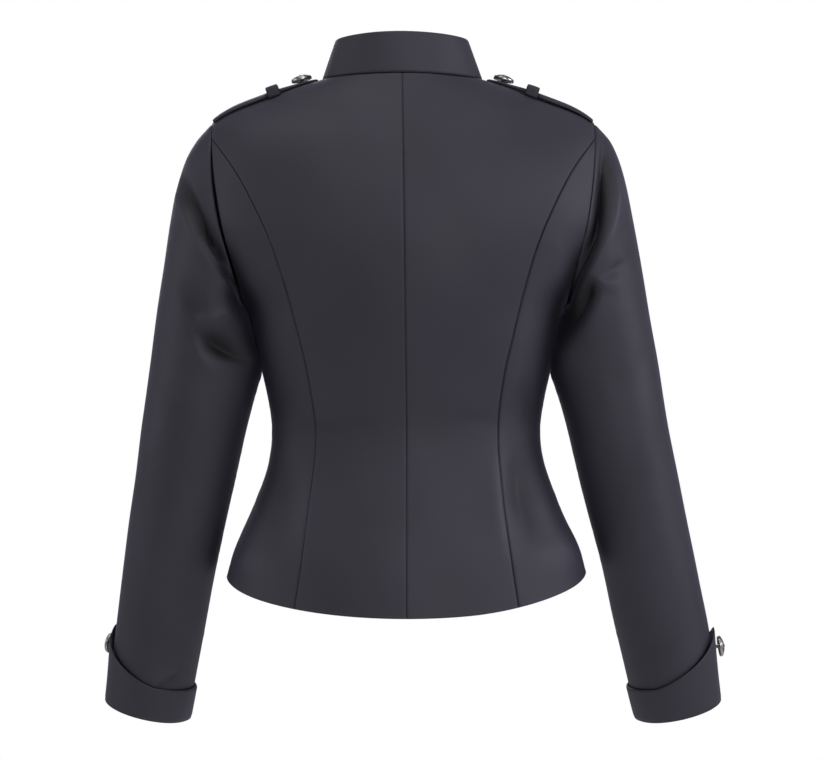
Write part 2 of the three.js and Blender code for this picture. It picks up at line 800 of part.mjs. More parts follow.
function addPair(name, geometry) {
  const other = mirrored(geometry);
  addCloth(`${name}_left`, geometry);
  addCloth(`${name}_right`, other);
}

const acrossBody = new THREE.Vector3(-1, 1, 1);

function addStrapButtons() {
  const place = strapSurface(strapButtonX, 0);
  const direction = surfaceNormal(strapSurface, strapButtonX, 0, strapStep, strapStep);
  addButton("button_strap_left", place, direction);
  place.multiply(acrossBody);
  direction.multiply(acrossBody);
  addButton("button_strap_right", place, direction);
}

function addCuffButton(side) {
  const share = cuffButtonHeight / cuff.peak;
  const turn = cuffPeakTurn[side];
  const place = cuffPoint(turn, cuffButtonHeight, cuffOut(turn, share, side), side);
  const direction = plainSleeveNormal(turn, sleeveLength - cuffButtonHeight, side);
  if (side === "right") {
    place.multiply(acrossBody);
    direction.multiply(acrossBody);
  }
  addButton(`button_cuff_${side}`, place, direction);
}

function addFrontButtons() {
  const spacing = (frontButtons.bottomZ - frontButtons.topZ) / (frontButtons.count - 1);
  for (let i = 0; i < frontButtons.count; i += 1) {
    const z = frontButtons.topZ + spacing * i;
    const level = crossing(hemLevel, neckLevel, (at) => bodyPoint(Math.PI, at).z - z);
    const direction = bodyNormal(Math.PI, level);
    const place = bodyPoint(Math.PI, level).addScaledVector(direction, lapRaise);
    addButton(`button_front_${i + 1}`, place, direction);
  }
}

const jacket = new THREE.Group();
addPair("back", backPanel());
addSidePair("side_back", sideBackPanel());
addSidePair("side_front", sideFrontPanel());
addCloth("front_left", frontPanel(lapUnder, false));
addCloth("front_right", mirrored(frontPanel(lapOver, true)));
addCloth("collar", collarBand());
addCloth("sleeve_left", sleeveTube("left"));
addCloth("sleeve_right", mirrored(sleeveTube("right")));
addCloth("cuff_left", cuffBand("left"));
addCloth("cuff_right", mirrored(cuffBand("right")));
addPair("strap", strapBoard());
addPair("keeper", keeperLoop());
addStrapButtons();
addCuffButton("left");
addCuffButton("right");
addFrontButtons();

export default jacket;
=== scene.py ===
import math

import bpy
import numpy as np
from mathutils import Matrix, Vector


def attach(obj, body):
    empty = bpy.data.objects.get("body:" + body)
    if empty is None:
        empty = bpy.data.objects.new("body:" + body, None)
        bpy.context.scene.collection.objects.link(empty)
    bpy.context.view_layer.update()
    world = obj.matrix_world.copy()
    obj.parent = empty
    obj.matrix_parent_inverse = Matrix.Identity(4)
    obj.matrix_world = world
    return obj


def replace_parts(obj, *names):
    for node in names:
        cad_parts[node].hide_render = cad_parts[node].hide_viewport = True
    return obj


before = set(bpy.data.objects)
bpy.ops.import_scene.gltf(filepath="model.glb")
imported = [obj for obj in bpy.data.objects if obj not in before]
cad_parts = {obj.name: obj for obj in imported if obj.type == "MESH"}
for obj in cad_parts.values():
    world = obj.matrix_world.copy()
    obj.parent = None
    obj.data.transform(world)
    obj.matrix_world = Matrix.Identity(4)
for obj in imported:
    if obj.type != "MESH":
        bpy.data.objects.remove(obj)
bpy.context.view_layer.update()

randomSource = np.random.default_rng(11)
print("stage: frame loaded")


# Tables and curves
def tableRows(columns, rows):
    return {name: np.array([row[i] for row in rows], float) for i, name in enumerate(columns)}


def tableCurve(table, key):
    keys = table[key]
    last = len(keys) - 1
    low = np.maximum(np.arange(last + 1) - 1, 0)
    high = np.minimum(np.arange(last + 1) + 1, last)
    slopes = {name: (v[high] - v[low]) / (keys[high] - keys[low]) for name, v in table.items()}

    def curve(place, column):
        place = np.asarray(place, float)
        i = np.clip(np.searchsorted(keys, place, side="left") - 1, 0, last - 1)
        span = keys[i + 1] - keys[i]
        u = np.clip((place - keys[i]) / span, 0, 1)
        rise = u * u * (3 - 2 * u)
        values = table[column]
        bend = slopes[column][i] * u * (1 - u) ** 2 + slopes[column][i + 1] * u * u * (u - 1)
        return values[i] * (1 - rise) + values[i + 1] * rise + bend * span

    return curve


def smoothStep(low, high, value):
    u = np.clip((value - low) / (high - low), 0, 1)
    return u * u * (3 - 2 * u)


def crossing(low, high, rising):
    low = np.array(low, float)
    high = np.array(high, float)
    for _ in range(40):
        middle = (low + high) / 2
        below = rising(middle) < 0
        low = np.where(below, middle, low)
        high = np.where(below, high, middle)
    return (low + high) / 2


def unit(vectors):
    return vectors / np.maximum(np.linalg.norm(vectors, axis=-1, keepdims=True), 1e-9)


# The torso's rings, from the hem to the neck seam
level = {"hem": 0, "underarm": 7, "shoulder": 11, "neck": 13}
bodyRings = tableRows(
    ["level", "halfWidth", "back", "front", "sideZ", "backZ", "frontZ", "square", "dip"],
    [
        [0, 179.5, 112, 117, -494, -527, -510, 2.1, 1.2],
        [1, 168, 104, 112, -459, -481, -467, 2.1, 1.4],
        [2, 151, 91, 104, -419, -432, -422, 2.15, 1.7],
        [3, 137.5, 78, 98, -379, -385, -380, 2.2, 2],
        [4, 134.5, 74, 97, -345, -347, -346, 2.2, 2],
        [5, 142, 81, 101, -300, -301, -301, 2.2, 2],
        [6, 153.5, 92, 104, -255, -257, -257, 2.2, 2],
        [7, 161, 100, 106, -222, -225, -226, 2.2, 2],
        [8, 186, 104, 103, -188, -195, -198, 2.2, 2],
        [9, 211, 105, 96, -140, -156, -163, 2.25, 2],
        [10, 211, 101, 86, -87, -114, -131, 2.2, 2],
        [11, 191, 92, 77, -43, -78, -104, 2.1, 1.7],
        [12, 136, 78, 70, -17.5, -41, -77, 2.05, 1.5],
        [13, 80, 60, 62, 0, 1.5, -50, 2, 2],
    ],
)
bust = {"x": 84, "z": -226, "depth": 15, "width": 46, "height": 52, "fadeDepth": 60}
armholeLine = tableRows(
    ["z", "back", "front"],
    [
        [-222, 161, 161],
        [-206, 164.5, 162],
        [-186, 169.5, 164],
        [-143, 180, 170],
        [-95, 187, 180],
        [-43, 191, 191],
    ],
)
backPrincess = tableRows(
    ["z", "x"],
    [
        [-530, 110],
        [-455, 99],
        [-405, 93],
        [-352, 89.5],
        [-296, 96],
        [-253, 105.5],
        [-206, 117.5],
        [-160, 132.5],
        [-114, 154],
        [-87, 170],
        [-60, 190],
    ],
)
frontPrincess = tableRows(
    ["z", "x"],
    [
        [-530, 104],
        [-420, 88],
        [-350, 80],
        [-290, 83],
        [-226, 92],
        [-175, 116],
        [-140, 146],
        [-110, 177],
    ],
)
lean = {"top": 4.5, "fromZ": -330, "toZ": 40}
hemRise = {"height": 5.2, "fromX": -60, "toX": -200, "fromZ": -430, "toZ": -488}

bodyCurve = tableCurve(bodyRings, "level")
armholeCurve = tableCurve(armholeLine, "z")
princessCurve = {"back": tableCurve(backPrincess, "z"), "front": tableCurve(frontPrincess, "z")}


def ringPoint(angle, ring):
    sine = np.sin(angle)
    cosine = np.cos(angle)
    power = ring["square"]
    reach = (np.abs(sine) ** power + np.abs(cosine) ** power) ** (-1 / power)
    depth = np.where(cosine > 0, ring["back"], ring["front"])
    endZ = np.where(cosine > 0, ring["backZ"], ring["frontZ"])
    z = ring["sideZ"] + (endZ - ring["sideZ"]) * np.abs(cosine) ** ring["dip"]
    x = ring["halfWidth"] * reach * sine
    return np.stack(np.broadcast_arrays(x, depth * reach * cosine, z), axis=-1)


def bodyPoint(angle, at):
    ring = {name: bodyCurve(at, name) for name in bodyRings if name != "level"}
    point = ringPoint(angle, ring)
    across = (np.abs(point[..., 0]) - bust["x"]) / bust["width"]
    up = (point[..., 2] - bust["z"]) / bust["height"]
    facing = smoothStep(0, bust["fadeDepth"], -point[..., 1])
    point[..., 1] -= bust["depth"] * facing * np.exp(-across * across - up * up)
    return point


def surfaceNormal(surface, u, v, stepU, stepV):
    alongU = surface(u + stepU, v) - surface(u - stepU, v)
    alongV = surface(u, v + stepV) - surface(u, v - stepV)
    return unit(np.cross(alongU, alongV))


def bodyNormal(angle, at):
    inside = np.clip(at, level["hem"] + 0.02, level["neck"] - 0.02)
    return -surfaceNormal(bodyPoint, angle, inside, 0.006, 0.02)


def sideHeight(at):
    return bodyCurve(at, "sideZ")


# The place between two named levels at which something that rises on the way passes zero
def levelWhere(low, high, shape, rising):
    start = np.full(shape, float(level[low]))
    end = np.full(shape, float(level[high]))
    return crossing(start, end, rising)


def armholeLevel(turn):
    low = sideHeight(level["underarm"])
    z = low + (sideHeight(level["shoulder"]) - low) * (1 - np.cos(turn)) / 2
    return levelWhere("underarm", "shoulder", np.shape(turn), lambda at: sideHeight(at) - z)


def angleAtCurve(at, face, curve, column):
    centre = 0 if face == "back" else math.pi

    def excess(share):
        point = bodyPoint(centre + (math.pi / 2 - centre) * share, at)
        return point[..., 0] - curve(point[..., 2], column)

    share = crossing(np.zeros(np.shape(at)), np.ones(np.shape(at)), excess)
    return centre + (math.pi / 2 - centre) * share


def armholeAngle(at, face):
    at = np.asarray(at, float)
    outside = (at <= level["underarm"]) | (at >= level["shoulder"])
    return np.where(outside, math.pi / 2, angleAtCurve(at, face, armholeCurve, face))


def princessAngle(at, face):
    return angleAtCurve(at, face, princessCurve[face], "x")


def princessTop(face):
    sign = 1 if face == "back" else -1
    rising = lambda at: sign * (princessAngle(at, face) - armholeAngle(at, face))
    return float(crossing(np.array([7.2]), np.array([10.99]), rising)[0])


topLevel = {face: princessTop(face) for face in ("back", "front")}


def panelEdge(at, face):
    return np.where(at >= topLevel[face], armholeAngle(at, face), princessAngle(at, face))


# Folds are lines on the cloth with a depth: above zero a trough and below it a ridge. Each runs
# down through three places and fades at its ends, with a width towards the arm's outer side and
# another towards the inner one.
foldColumns = ["x1", "z1", "x2", "z2", "x3", "z3", "depth", "outer", "inner"]


def foldLine(fold, count=26):
    t = np.linspace(0, 1, count)[:, None]
    first = np.array([fold["x1"], fold["z1"]])
    last = np.array([fold["x3"], fold["z3"]])
    through = np.array([fold["x2"], fold["z2"]])
    control = 2 * through - (first + last) / 2
    return first * (1 - t) ** 2 + 2 * control * t * (1 - t) + last * t**2


def foldField(x, z, folds):
    place = np.stack([x.ravel(), z.ravel()], axis=-1)
    total = np.zeros(len(place))
    for row in folds:
        fold = dict(zip(foldColumns, row))
        line = foldLine(fold)
        reach = 4.5 * max(fold["outer"], fold["inner"])
        near = np.all((place > line.min(0) - reach) & (place < line.max(0) + reach), axis=1)
        if not near.any():
            continue
        run = np.diff(line, axis=0)
        away = place[near][:, None, :] - line[None, :-1]
        part = np.clip((away * run).sum(-1) / (run * run).sum(-1), 0, 1)
        away = away - part[..., None] * run
        nearest = np.argmin((away**2).sum(-1), axis=1)
        pick = np.arange(len(nearest))
        away = away[pick, nearest]
        ahead = unit(run)[nearest]
        side = ahead[:, 0] * away[:, 1] - ahead[:, 1] * away[:, 0]
        share = (nearest + part[pick, nearest]) / (len(line) - 1)
        width = np.where(side > 0, fold["outer"], fold["inner"])
        fade = np.clip(4 * share * (1 - share), 0, 1) ** (0.7 + 0.06 * max(fold["outer"], fold["inner"]))
        fall = np.exp(-((np.linalg.norm(away, axis=1) / width) ** 1.5))
        total[near] += fold["depth"] * fade * fall
    return total.reshape(x.shape)


# Soft unevenness that every cloth has, as a sum of long waves through space
waveCount = 12
waveVectors = unit(randomSource.normal(size=(waveCount, 3))) * (
    2 * math.pi / randomSource.uniform(55, 150, waveCount)
)[:, None]
wavePhases = randomSource.uniform(0, 2 * math.pi, waveCount)


def unevenness(points, size):
    waves = np.sin(points @ waveVectors.T + wavePhases)
    return size * waves.sum(-1) / math.sqrt(waveCount)


# Seam puckers: short uneven waves along a seam that die away beside it
puckerLengths = np.array([8.5, 12.5, 19.0, 31.0])
puckerPhases = randomSource.uniform(0, 2 * math.pi, 4)
seam = {"dip": 1.1, "width": 0.95, "pucker": 0.14, "puckerReach": 8.0, "centreShare": 0.55}
neckRadius = 70      # turns an angle round the neck into a length along its seam


def puckers(along, apart, size):
    waves = sum(np.sin(2 * math.pi * along / n + p) for n, p in zip(puckerLengths, puckerPhases))
    patchy = 0.55 + 0.45 * np.sin(2 * math.pi * along / 83 + 1.3)
    return size * patchy * waves / 2 * np.exp(-apart / seam["puckerReach"])


def seamDip(apart):
    return seam["dip"] * np.exp(-((apart / seam["width"]) ** 2))


# Meshes
def leaned(points):
    share = np.clip((points[..., 2] - lean["fromZ"]) / (lean["toZ"] - lean["fromZ"]), 0, 1)
    moved = points.copy()
    moved[..., 0] += lean["top"] * share
    return moved


# The hem's corner on the wearer's right side hangs a little higher.
def risen(points):
    across = smoothStep(-hemRise["fromX"], -hemRise["toX"], -points[..., 0])
    down = smoothStep(-hemRise["fromZ"], -hemRise["toZ"], -points[..., 2])
    moved = points.copy()
    moved[..., 2] += hemRise["height"] * across * down
    return moved


def mirroredPoints(points):
    return points * np.array([-1.0, 1.0, 1.0])


# Pieces are shaped on the left, and mirrored for the right.
def onSide(side, *arrays):
    return [mirroredPoints(array) if side == "right" else array for array in arrays]


# Shares from 0 to 1, closest together near both ends
def edgeShares(near, count):
    near = np.asarray(near)
    return np.concatenate([near, np.linspace(near[-1], 1 - near[-1], count)[1:-1], 1 - near[::-1]])


def addMesh(name, vertices, faces, uvs, material, slotName, hollow=None):
    mesh = bpy.data.meshes.new(name)
    mesh.from_pydata((vertices * 0.001).tolist(), [], faces.tolist())
    mesh.polygons.foreach_set("use_smooth", np.ones(len(mesh.polygons), bool))
    if uvs is not None:
        layer = mesh.uv_layers.new(name="cloth")
        layer.data.foreach_set("uv", (uvs * 0.001).ravel())
    # hollow carries each point's fold and seam depth; the cloth material turns it into painted shade and
    # painted highlight.
    if hollow is not None:
        layer = mesh.attributes.new("hollow", "FLOAT", "POINT")
        layer.data.foreach_set("value", hollow.ravel())
    mesh.materials.append(material)
    mesh.update()
    piece = bpy.data.objects.new(f"{name}_{slotName}", mesh)
    bpy.context.collection.objects.link(piece)
    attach(piece, "root")
    return piece


def gridFaces(rows, columns, offset=0):
    i, j = np.meshgrid(np.arange(rows - 1), np.arange(columns - 1), indexing="ij")
    a = offset + i * columns + j
    return np.stack([a, a + 1, a + 1 + columns, a + columns], axis=-1).reshape(-1, 4)


# A thin closed wall over a grid of outer points, with rounded edges all round.
def addWall(name, points, normals, thickness, uv, material, bulge=0.3, hollow=None):
    rows, columns = points.shape[:2]
    inner = points - normals * thickness
    count = rows * columns
    top = gridFaces(rows, columns)
    ring = np.array(
        [(0, j) for j in range(columns)]
        + [(i, columns - 1) for i in range(1, rows)]
        + [(rows - 1, j) for j in range(columns - 2, -1, -1)]
        + [(i, 0) for i in range(rows - 2, 0, -1)]
    )
    steps = np.zeros_like(points)
    steps[0] += unit(points[0] - points[1])
    steps[-1] += unit(points[-1] - points[-2])
    steps[:, 0] += unit(points[:, 0] - points[:, 1])
    steps[:, -1] += unit(points[:, -1] - points[:, -2])
    edge = ring[:, 0] * columns + ring[:, 1]
    outward = unit(steps[ring[:, 0], ring[:, 1]])
    rim = (points.reshape(-1, 3)[edge] + inner.reshape(-1, 3)[edge]) / 2 + outward * thickness * bulge
    vertices = np.concatenate([points.reshape(-1, 3), inner.reshape(-1, 3), rim])
    sample = unit(np.cross(points[0, 1] - points[0, 0], points[1, 1] - points[0, 1]))
    if (sample * normals[0, 0]).sum() < 0:
        top = top[:, ::-1]
        edge = edge[::-1]
        rimIndex = 2 * count + np.arange(len(edge))[::-1]
    else:
        rimIndex = 2 * count + np.arange(len(edge))
    nextEdge = np.roll(edge, -1)
    nextRim = np.roll(rimIndex, -1)
    upper = np.stack([nextEdge, edge, rimIndex, nextRim], axis=-1)
    lower = np.stack([nextRim, rimIndex, edge + count, nextEdge + count], axis=-1)
    faces = np.concatenate([top, top[:, ::-1] + count, upper, lower])
    flatUv = uv.reshape(-1, 2)
    allUv = np.concatenate([flatUv, flatUv, flatUv[ring[:, 0] * columns + ring[:, 1]]])
    if hollow is not None:
        hollow = np.concatenate([hollow.ravel(), np.zeros(count + len(ring))])
    return addMesh(name, vertices, faces, allUv[faces.ravel()], material, "cloth", hollow)


# A closed skin over loops of points that go round a tube and back through its inside.
def addTube(name, loops, uvAcross, uvAlong, material, hollow=None):
    rows, columns = loops.shape[:2]
    i, j = np.meshgrid(np.arange(rows), np.arange(columns), indexing="ij")
    nextI = (i + 1) % rows
    nextJ = (j + 1) % columns
    corners = [(i, j, j), (i, nextJ, j + 1), (nextI, nextJ, j + 1), (nextI, j, j)]
    faces = np.stack([(a * columns + b).ravel() for a, b, _ in corners], axis=-1)
    uvs = np.stack(
        [np.stack([uvAcross * c.ravel(), uvAlong[a.ravel()]], axis=-1) for a, _, c in corners],
        axis=1,
    )
    return addMesh(name, loops.reshape(-1, 3), faces, uvs.reshape(-1, 2), material, "cloth", hollow)


# Materials
def linear(hexColour):
    def channel(part):
        value = int(part, 16) / 255
        return value / 12.92 if value <= 0.04045 else ((value + 0.055) / 1.055) ** 2.4

    digits = hexColour.lstrip("#")
    return tuple(channel(digits[k : k + 2]) for k in (0, 2, 4)) + (1.0,)


def addNode(tree, kind, inputs=None, **settings):
    node = tree.nodes.new(kind)
    for key, value in settings.items():
        setattr(node, key, value)
    for name, value in (inputs or {}).items():
        if isinstance(value, bpy.types.NodeSocket):
            tree.links.new(value, node.inputs[name])
        else:
            node.inputs[name].default_value = value
    return node


def newMaterial(name):
    material = bpy.data.materials.new(name)
    material.use_nodes = True
    tree = material.node_tree
    shader = tree.nodes["Principled BSDF"]
    return material, tree, shader


def mixColour(tree, factor, first, second, blend="MIX"):
    inputs = {0: factor, 6: first, 7: second}
    return addNode(tree, "ShaderNodeMix", inputs, data_type="RGBA", blend_type=blend).outputs[2]


def mapRange(tree, value, fromRange, toRange):
    ends = dict(zip(("From Min", "From Max", "To Min", "To Max"), fromRange + toRange))
    return addNode(tree, "ShaderNodeMapRange", {"Value": value, **ends}).outputs["Result"]


def noise(tree, vector, scale, detail, roughness=0.5):
    inputs = {"Vector": vector, "Scale": scale, "Detail": detail, "Roughness": roughness}
    return addNode(tree, "ShaderNodeTexNoise", inputs).outputs["Fac"]


def bump(tree, height, depthMm, strength=1.0, **more):
    inputs = {"Height": height, "Strength": strength, "Distance": depthMm * 0.001, **more}
    return addNode(tree, "ShaderNodeBump", inputs).outputs["Normal"]


def openness(tree, reachMm):
    inputs = {"Distance": reachMm * 0.001}
    return addNode(tree, "ShaderNodeAmbientOcclusion", inputs, samples=6).outputs["AO"]


def plugIn(tree, shader, sockets):
    for name, value in sockets.items():
        tree.links.new(value, shader.inputs[name])


# Polyester satin twill, piece dyed charcoal: smooth and dark, with a cool violet bloom where it
# turns away from the eye, a very fine diagonal rib, a faint cloudiness, painted shade in seams, creases
# and fold troughs, and painted highlight on fold ridges.
def satinTwill():
    values = {
        "deep": "#302f36",
        "light": "#37363e",
        "sheen": "#aea9c8",
        "sheenWeight": 0.3,
        "sheenRoughness": 0.35,
        "roughness": (0.53, 0.61),
        "ribMm": 0.55,
        "ribDepthMm": 0.035,
        "cloudMm": 60,
        "slubScale": 900.0,
        "slubShare": 0.25,
        "crinkleMm": 7,
        "crinkleDepthMm": 0.09,
        # The last four values set painted shade where other cloth is near, and painted shade in fold
        # troughs with painted highlight on fold ridges.
        "hollowMm": 30,
        "hollowShade": (0.2, 1.0),
        "foldMm": (-5.0, 8.0),
        "foldShadeAndHighlight": (1.6, 0.04),
    }
    material, tree, shader = newMaterial("satin twill, woven and piece dyed")
    uv = addNode(tree, "ShaderNodeUVMap", uv_map="cloth").outputs["UV"]
    place = addNode(tree, "ShaderNodeTexCoord").outputs["Object"]
    ribScale = 0.444 / (values["ribMm"] * 0.001)
    rib = addNode(
        tree,
        "ShaderNodeTexWave",
        {"Vector": uv, "Scale": ribScale, "Distortion": 0.6, "Detail Scale": 1.5},
        wave_type="BANDS",
        bands_direction="DIAGONAL",
    ).outputs["Fac"]
    cloud = noise(tree, place, 1000 / values["cloudMm"], 3.0, 0.6)
    slub = noise(tree, uv, values["slubScale"], 1.0)
    crinkle = noise(tree, place, 1000 / values["crinkleMm"], 2.0, 0.45)
    base = mixColour(tree, cloud, linear(values["deep"]), linear(values["light"]))
    flecked = mixColour(tree, values["slubShare"], base, slub, "OVERLAY")
    # Painted shade: the base colour is darkened wherever other cloth lies within 30 mm, in seams, creases,
    # folds and where pieces meet.
    shade = mapRange(tree, openness(tree, values["hollowMm"]), (0.45, 0.97), values["hollowShade"])
    # Painted shade and highlight: each point's depth into the cloth, kept in the "hollow" attribute,
    # darkens the base colour in fold troughs and seams and lightens it on fold ridges; at zero depth the
    # colour is unchanged.
    depth = addNode(tree, "ShaderNodeAttribute", attribute_name="hollow").outputs["Fac"]
    foldShadeAndHighlight = mapRange(tree, depth, values["foldMm"], values["foldShadeAndHighlight"])
    both = addNode(tree, "ShaderNodeMath", {0: shade, 1: foldShadeAndHighlight}, operation="MULTIPLY").outputs[0]
    shaded = mixColour(tree, 1.0, flecked, both, "MULTIPLY")
    rough = mapRange(tree, cloud, (0.3, 0.7), values["roughness"])
    crinkled = bump(tree, crinkle, values["crinkleDepthMm"])
    ribbed = bump(tree, rib, values["ribDepthMm"], Normal=crinkled)
    plugIn(tree, shader, {"Base Color": shaded, "Roughness": rough, "Normal": ribbed})
    shader.inputs["IOR"].default_value = 1.5
    shader.inputs["Sheen Weight"].default_value = values["sheenWeight"]
    shader.inputs["Sheen Roughness"].default_value = values["sheenRoughness"]
    shader.inputs["Sheen Tint"].default_value = linear(values["sheen"])
    return material


# Cast zinc with an antique silver plate: bright on what hands rub, dark in the hollows.
def antiqueSilver():
    values = {
        "hollow": "#1d1c1e",
        "dull": "#a39e95",
        "bright": "#c8c4bd",
        "hollowMm": 2.2,
        "speckleScale": 1400.0,
        "speckleDepthMm": 0.06,
        "roughness": (0.22, 0.4),
    }
    material, tree, shader = newMaterial("antique silver plate on cast zinc")
    place = addNode(tree, "ShaderNodeTexCoord").outputs["Object"]
    worn = mapRange(tree, openness(tree, values["hollowMm"]), (0.45, 0.95), (0.0, 1.0))
    speckle = noise(tree, place, values["speckleScale"], 3.0)
    plate = mixColour(tree, speckle, linear(values["dull"]), linear(values["bright"]))
    colour = mixColour(tree, worn, linear(values["hollow"]), plate)
    rough = mapRange(tree, speckle, (0.3, 0.7), values["roughness"])
    pitted = bump(tree, speckle, values["speckleDepthMm"], 0.5)
    plugIn(tree, shader, {"Base Color": colour, "Roughness": rough, "Normal": pitted})
    shader.inputs["Metallic"].default_value = 1.0
    return material


cloth = satinTwill()
silver = antiqueSilver()
print("stage: materials made")


# Rows and columns of the torso's panels, closest together beside edges and seams
edgeSteps = np.array([0, 0.5, 1.1, 1.9, 3.0, 4.6, 7.0])
skirtShare = np.concatenate([edgeSteps[:-1] / 290, np.linspace(edgeSteps[-1] / 290, 1, 84)[:-1]])
skirtLevels = level["underarm"] * skirtShare
armholeLevels = armholeLevel(np.linspace(0, math.pi, 58))
neckShare = 1 - np.concatenate([np.linspace(1, edgeSteps[-1] / 115, 30), edgeSteps[:-1][::-1] / 115])
neckLevels = level["shoulder"] + (level["neck"] - level["shoulder"]) * neckShare
bodyLevels = np.concatenate([skirtLevels, armholeLevels[:-1], neckLevels])


def bodySpeed(angle, at, step):
    moved = bodyPoint(angle + step, at) - bodyPoint(angle - step, at)
    return np.linalg.norm(moved, axis=-1) / (2 * step)


def rowAngles(at, first, second, interior):
    width = np.abs(second - first) * bodySpeed((first + second) / 2, at, 0.004)
    scale = np.minimum(1, width / (4 * edgeSteps[-1]))
    near = edgeSteps[None] * scale[:, None] / np.maximum(width, 0.01)[:, None]
    inside = np.linspace(0, 1, interior + 2)[1:-1][None]
    start = near[:, -1:]
    shares = np.concatenate([near, start + inside * (1 - 2 * start), 1 - near[:, ::-1]], axis=1)
    return first[:, None] + (second - first)[:, None] * shares


def pathDistance(points, axis, fromEnd):
    steps = np.linalg.norm(np.diff(points, axis=axis), axis=-1)
    total = np.cumsum(steps, axis=axis)
    zero = np.zeros_like(np.take(total, [0], axis=axis))
    total = np.concatenate([zero, total], axis=axis)
    if fromEnd:
        total = np.take(total, [-1], axis=axis) - total
    return total


# Soft shapes of the body: the skirt's ribs beside the seams and the pull at the waist
bodyFolds = {
    "back": {
        "left": [
            [92, -370, 96, -430, 106, -500, -2.0, 13, 15],
            [118, -372, 124, -420, 138, -478, 3.0, 18, 16],
            [150, -455, 156, -478, 168, -498, -2.0, 14, 16],
            [60, -352, 84, -346, 112, -352, 1.1, 9, 10],
            [118, -300, 126, -326, 124, -350, 1.5, 12, 12],
            [20, -338, 50, -343, 78, -352, 0.8, 8, 9],
            [150, -196, 158, -214, 154, -240, -1.4, 10, 12],
        ],
        "right": [
            [84, -352, 88, -420, 97, -490, -4.6, 11, 9],
            [146, -150, 117, -245, 102, -320, -1.8, 13, 7],
            [107, -356, 113, -415, 129, -472, 6.0, 18, 12],
            [146, -448, 158, -474, 170, -496, -2.6, 14, 16],
            [40, -345, 70, -338, 100, -348, 1.2, 8, 10],
            [112, -292, 120, -322, 116, -352, 2.2, 12, 11],
            [96, -332, 90, -352, 86, -372, -1.2, 7, 8],
            [140, -150, 150, -180, 152, -214, -1.8, 9, 12],
        ],
    },
    "front": {
        "left": [
            [84, -356, 90, -420, 100, -480, -2.2, 12, 14],
            [112, -366, 118, -420, 134, -476, 3.2, 17, 15],
            [20, -350, 52, -344, 82, -352, 1.2, 9, 10],
            [112, -250, 118, -290, 110, -330, 2.0, 12, 12],
            [70, -120, 96, -150, 104, -186, 1.4, 12, 14],
        ],
        "right": [
            [82, -350, 92, -415, 102, -486, -2.4, 12, 14],
            [114, -362, 120, -415, 136, -470, 3.4, 17, 15],
            [24, -344, 56, -350, 84, -346, 1.3, 9, 10],
            [114, -244, 118, -286, 108, -326, 2.2, 12, 12],
            [66, -116, 92, -144, 106, -180, 1.2, 12, 14],
        ],
    },
}


def bodySurface(at, angles, side, face, seamSides, neckSeam, extra=None):
    plain = bodyPoint(angles, at[:, None])
    normals = bodyNormal(angles, at[:, None] + 0 * angles)
    across = {"first": pathDistance(plain, 1, False), "second": pathDistance(plain, 1, True)}
    along = plain[..., 2]
    depth = foldField(plain[..., 0], plain[..., 2], bodyFolds[face][side])
    shown = plain if side == "left" else mirroredPoints(plain)
    depth = depth + unevenness(shown, 0.4)
    for end in seamSides:
        centred = face == "back" and neckSeam and end == "first"
        share = seam["centreShare"] if centred else 1
        depth = depth + share * seamDip(across[end]) + puckers(along, across[end], seam["pucker"])
    if neckSeam:
        up = pathDistance(plain, 0, True)
        size = 0.34 if side == "right" and face == "back" else 0.2
        depth = depth + seamDip(up) + puckers(angles * neckRadius, up, size)
    points = plain - normals * depth[..., None]
    if extra is not None:
        points = points + normals * extra(plain)[..., None]
    return points, normals, across["first"], depth


def addPanel(name, side, face, at, first, second, interior, seamSides, neckSeam, extra=None):
    inset = 0.1 / 90
    angles = rowAngles(at, first + inset, second - inset, interior)
    points, normals, across, depth = bodySurface(at, angles, side, face, seamSides, neckSeam, extra)
    uv = np.stack([across, points[..., 2]], axis=-1)
    points, normals = onSide(side, points, normals)
    placed = leaned(risen(points))
    # The panel's fold and seam depth goes along as hollow, for painted shade and highlight in the cloth's
    # colour.
    return addWall(name, placed, normals, bodyCloth["thickness"], uv, cloth, hollow=depth)


bodyCloth = {"thickness": 1.4}
front = {"lapOver": 16, "lapUnder": 12, "raise": 2.3, "rampFrom": 36, "rampTo": 15}


def movedAngle(angle, at, distance):
    return angle + distance / bodySpeed(angle, at, 0.01)


def lapRaise(points):
    ramp = smoothStep(-front["rampFrom"], -front["rampTo"], -points[..., 0])
    return front["raise"] * ramp


panels = {}
for side in ("left", "right"):
    straight = np.zeros(len(bodyLevels))
    panels["back_" + side] = addPanel(
        "back_" + side, side, "back", bodyLevels, straight, panelEdge(bodyLevels, "back"), 40,
        ["first", "second"], True,
    )
    for face in ("back", "front"):
        lowLevels = np.concatenate([skirtLevels, armholeLevels[:-1]])
        at = np.append(lowLevels[lowLevels < topLevel[face] - 0.03], topLevel[face] - 0.02)
        princess = princessAngle(at, face)
        armhole = armholeAngle(at, face)
        first, second = (princess, armhole) if face == "back" else (armhole, princess)
        name = f"side_{face}_{side}"
        panels[name] = addPanel(name, side, face, at, first, second, 24, ["first", "second"], False)
    lap = front["lapOver"] if side == "right" else front["lapUnder"]
    centre = movedAngle(np.full(len(bodyLevels), math.pi), bodyLevels, lap)
    panels["front_" + side] = addPanel(
        "front_" + side, side, "front", bodyLevels, panelEdge(bodyLevels, "front"), centre, 44,
        ["first"], True, lapRaise if side == "right" else None,
    )
print("stage: torso made")

# The stand collar: one band of double cloth with a rolled top edge
collar = {"thickness": 2.4, "endGap": 1.0, "foot": 0.35, "columns": 190, "rows": 26, "edgeLine": 3.2}
collarTop = {
    "halfWidth": 66.5, "back": 52, "front": 57,
    "sideZ": 40, "backZ": 42.8, "frontZ": -9, "square": 2, "dip": 2,
}


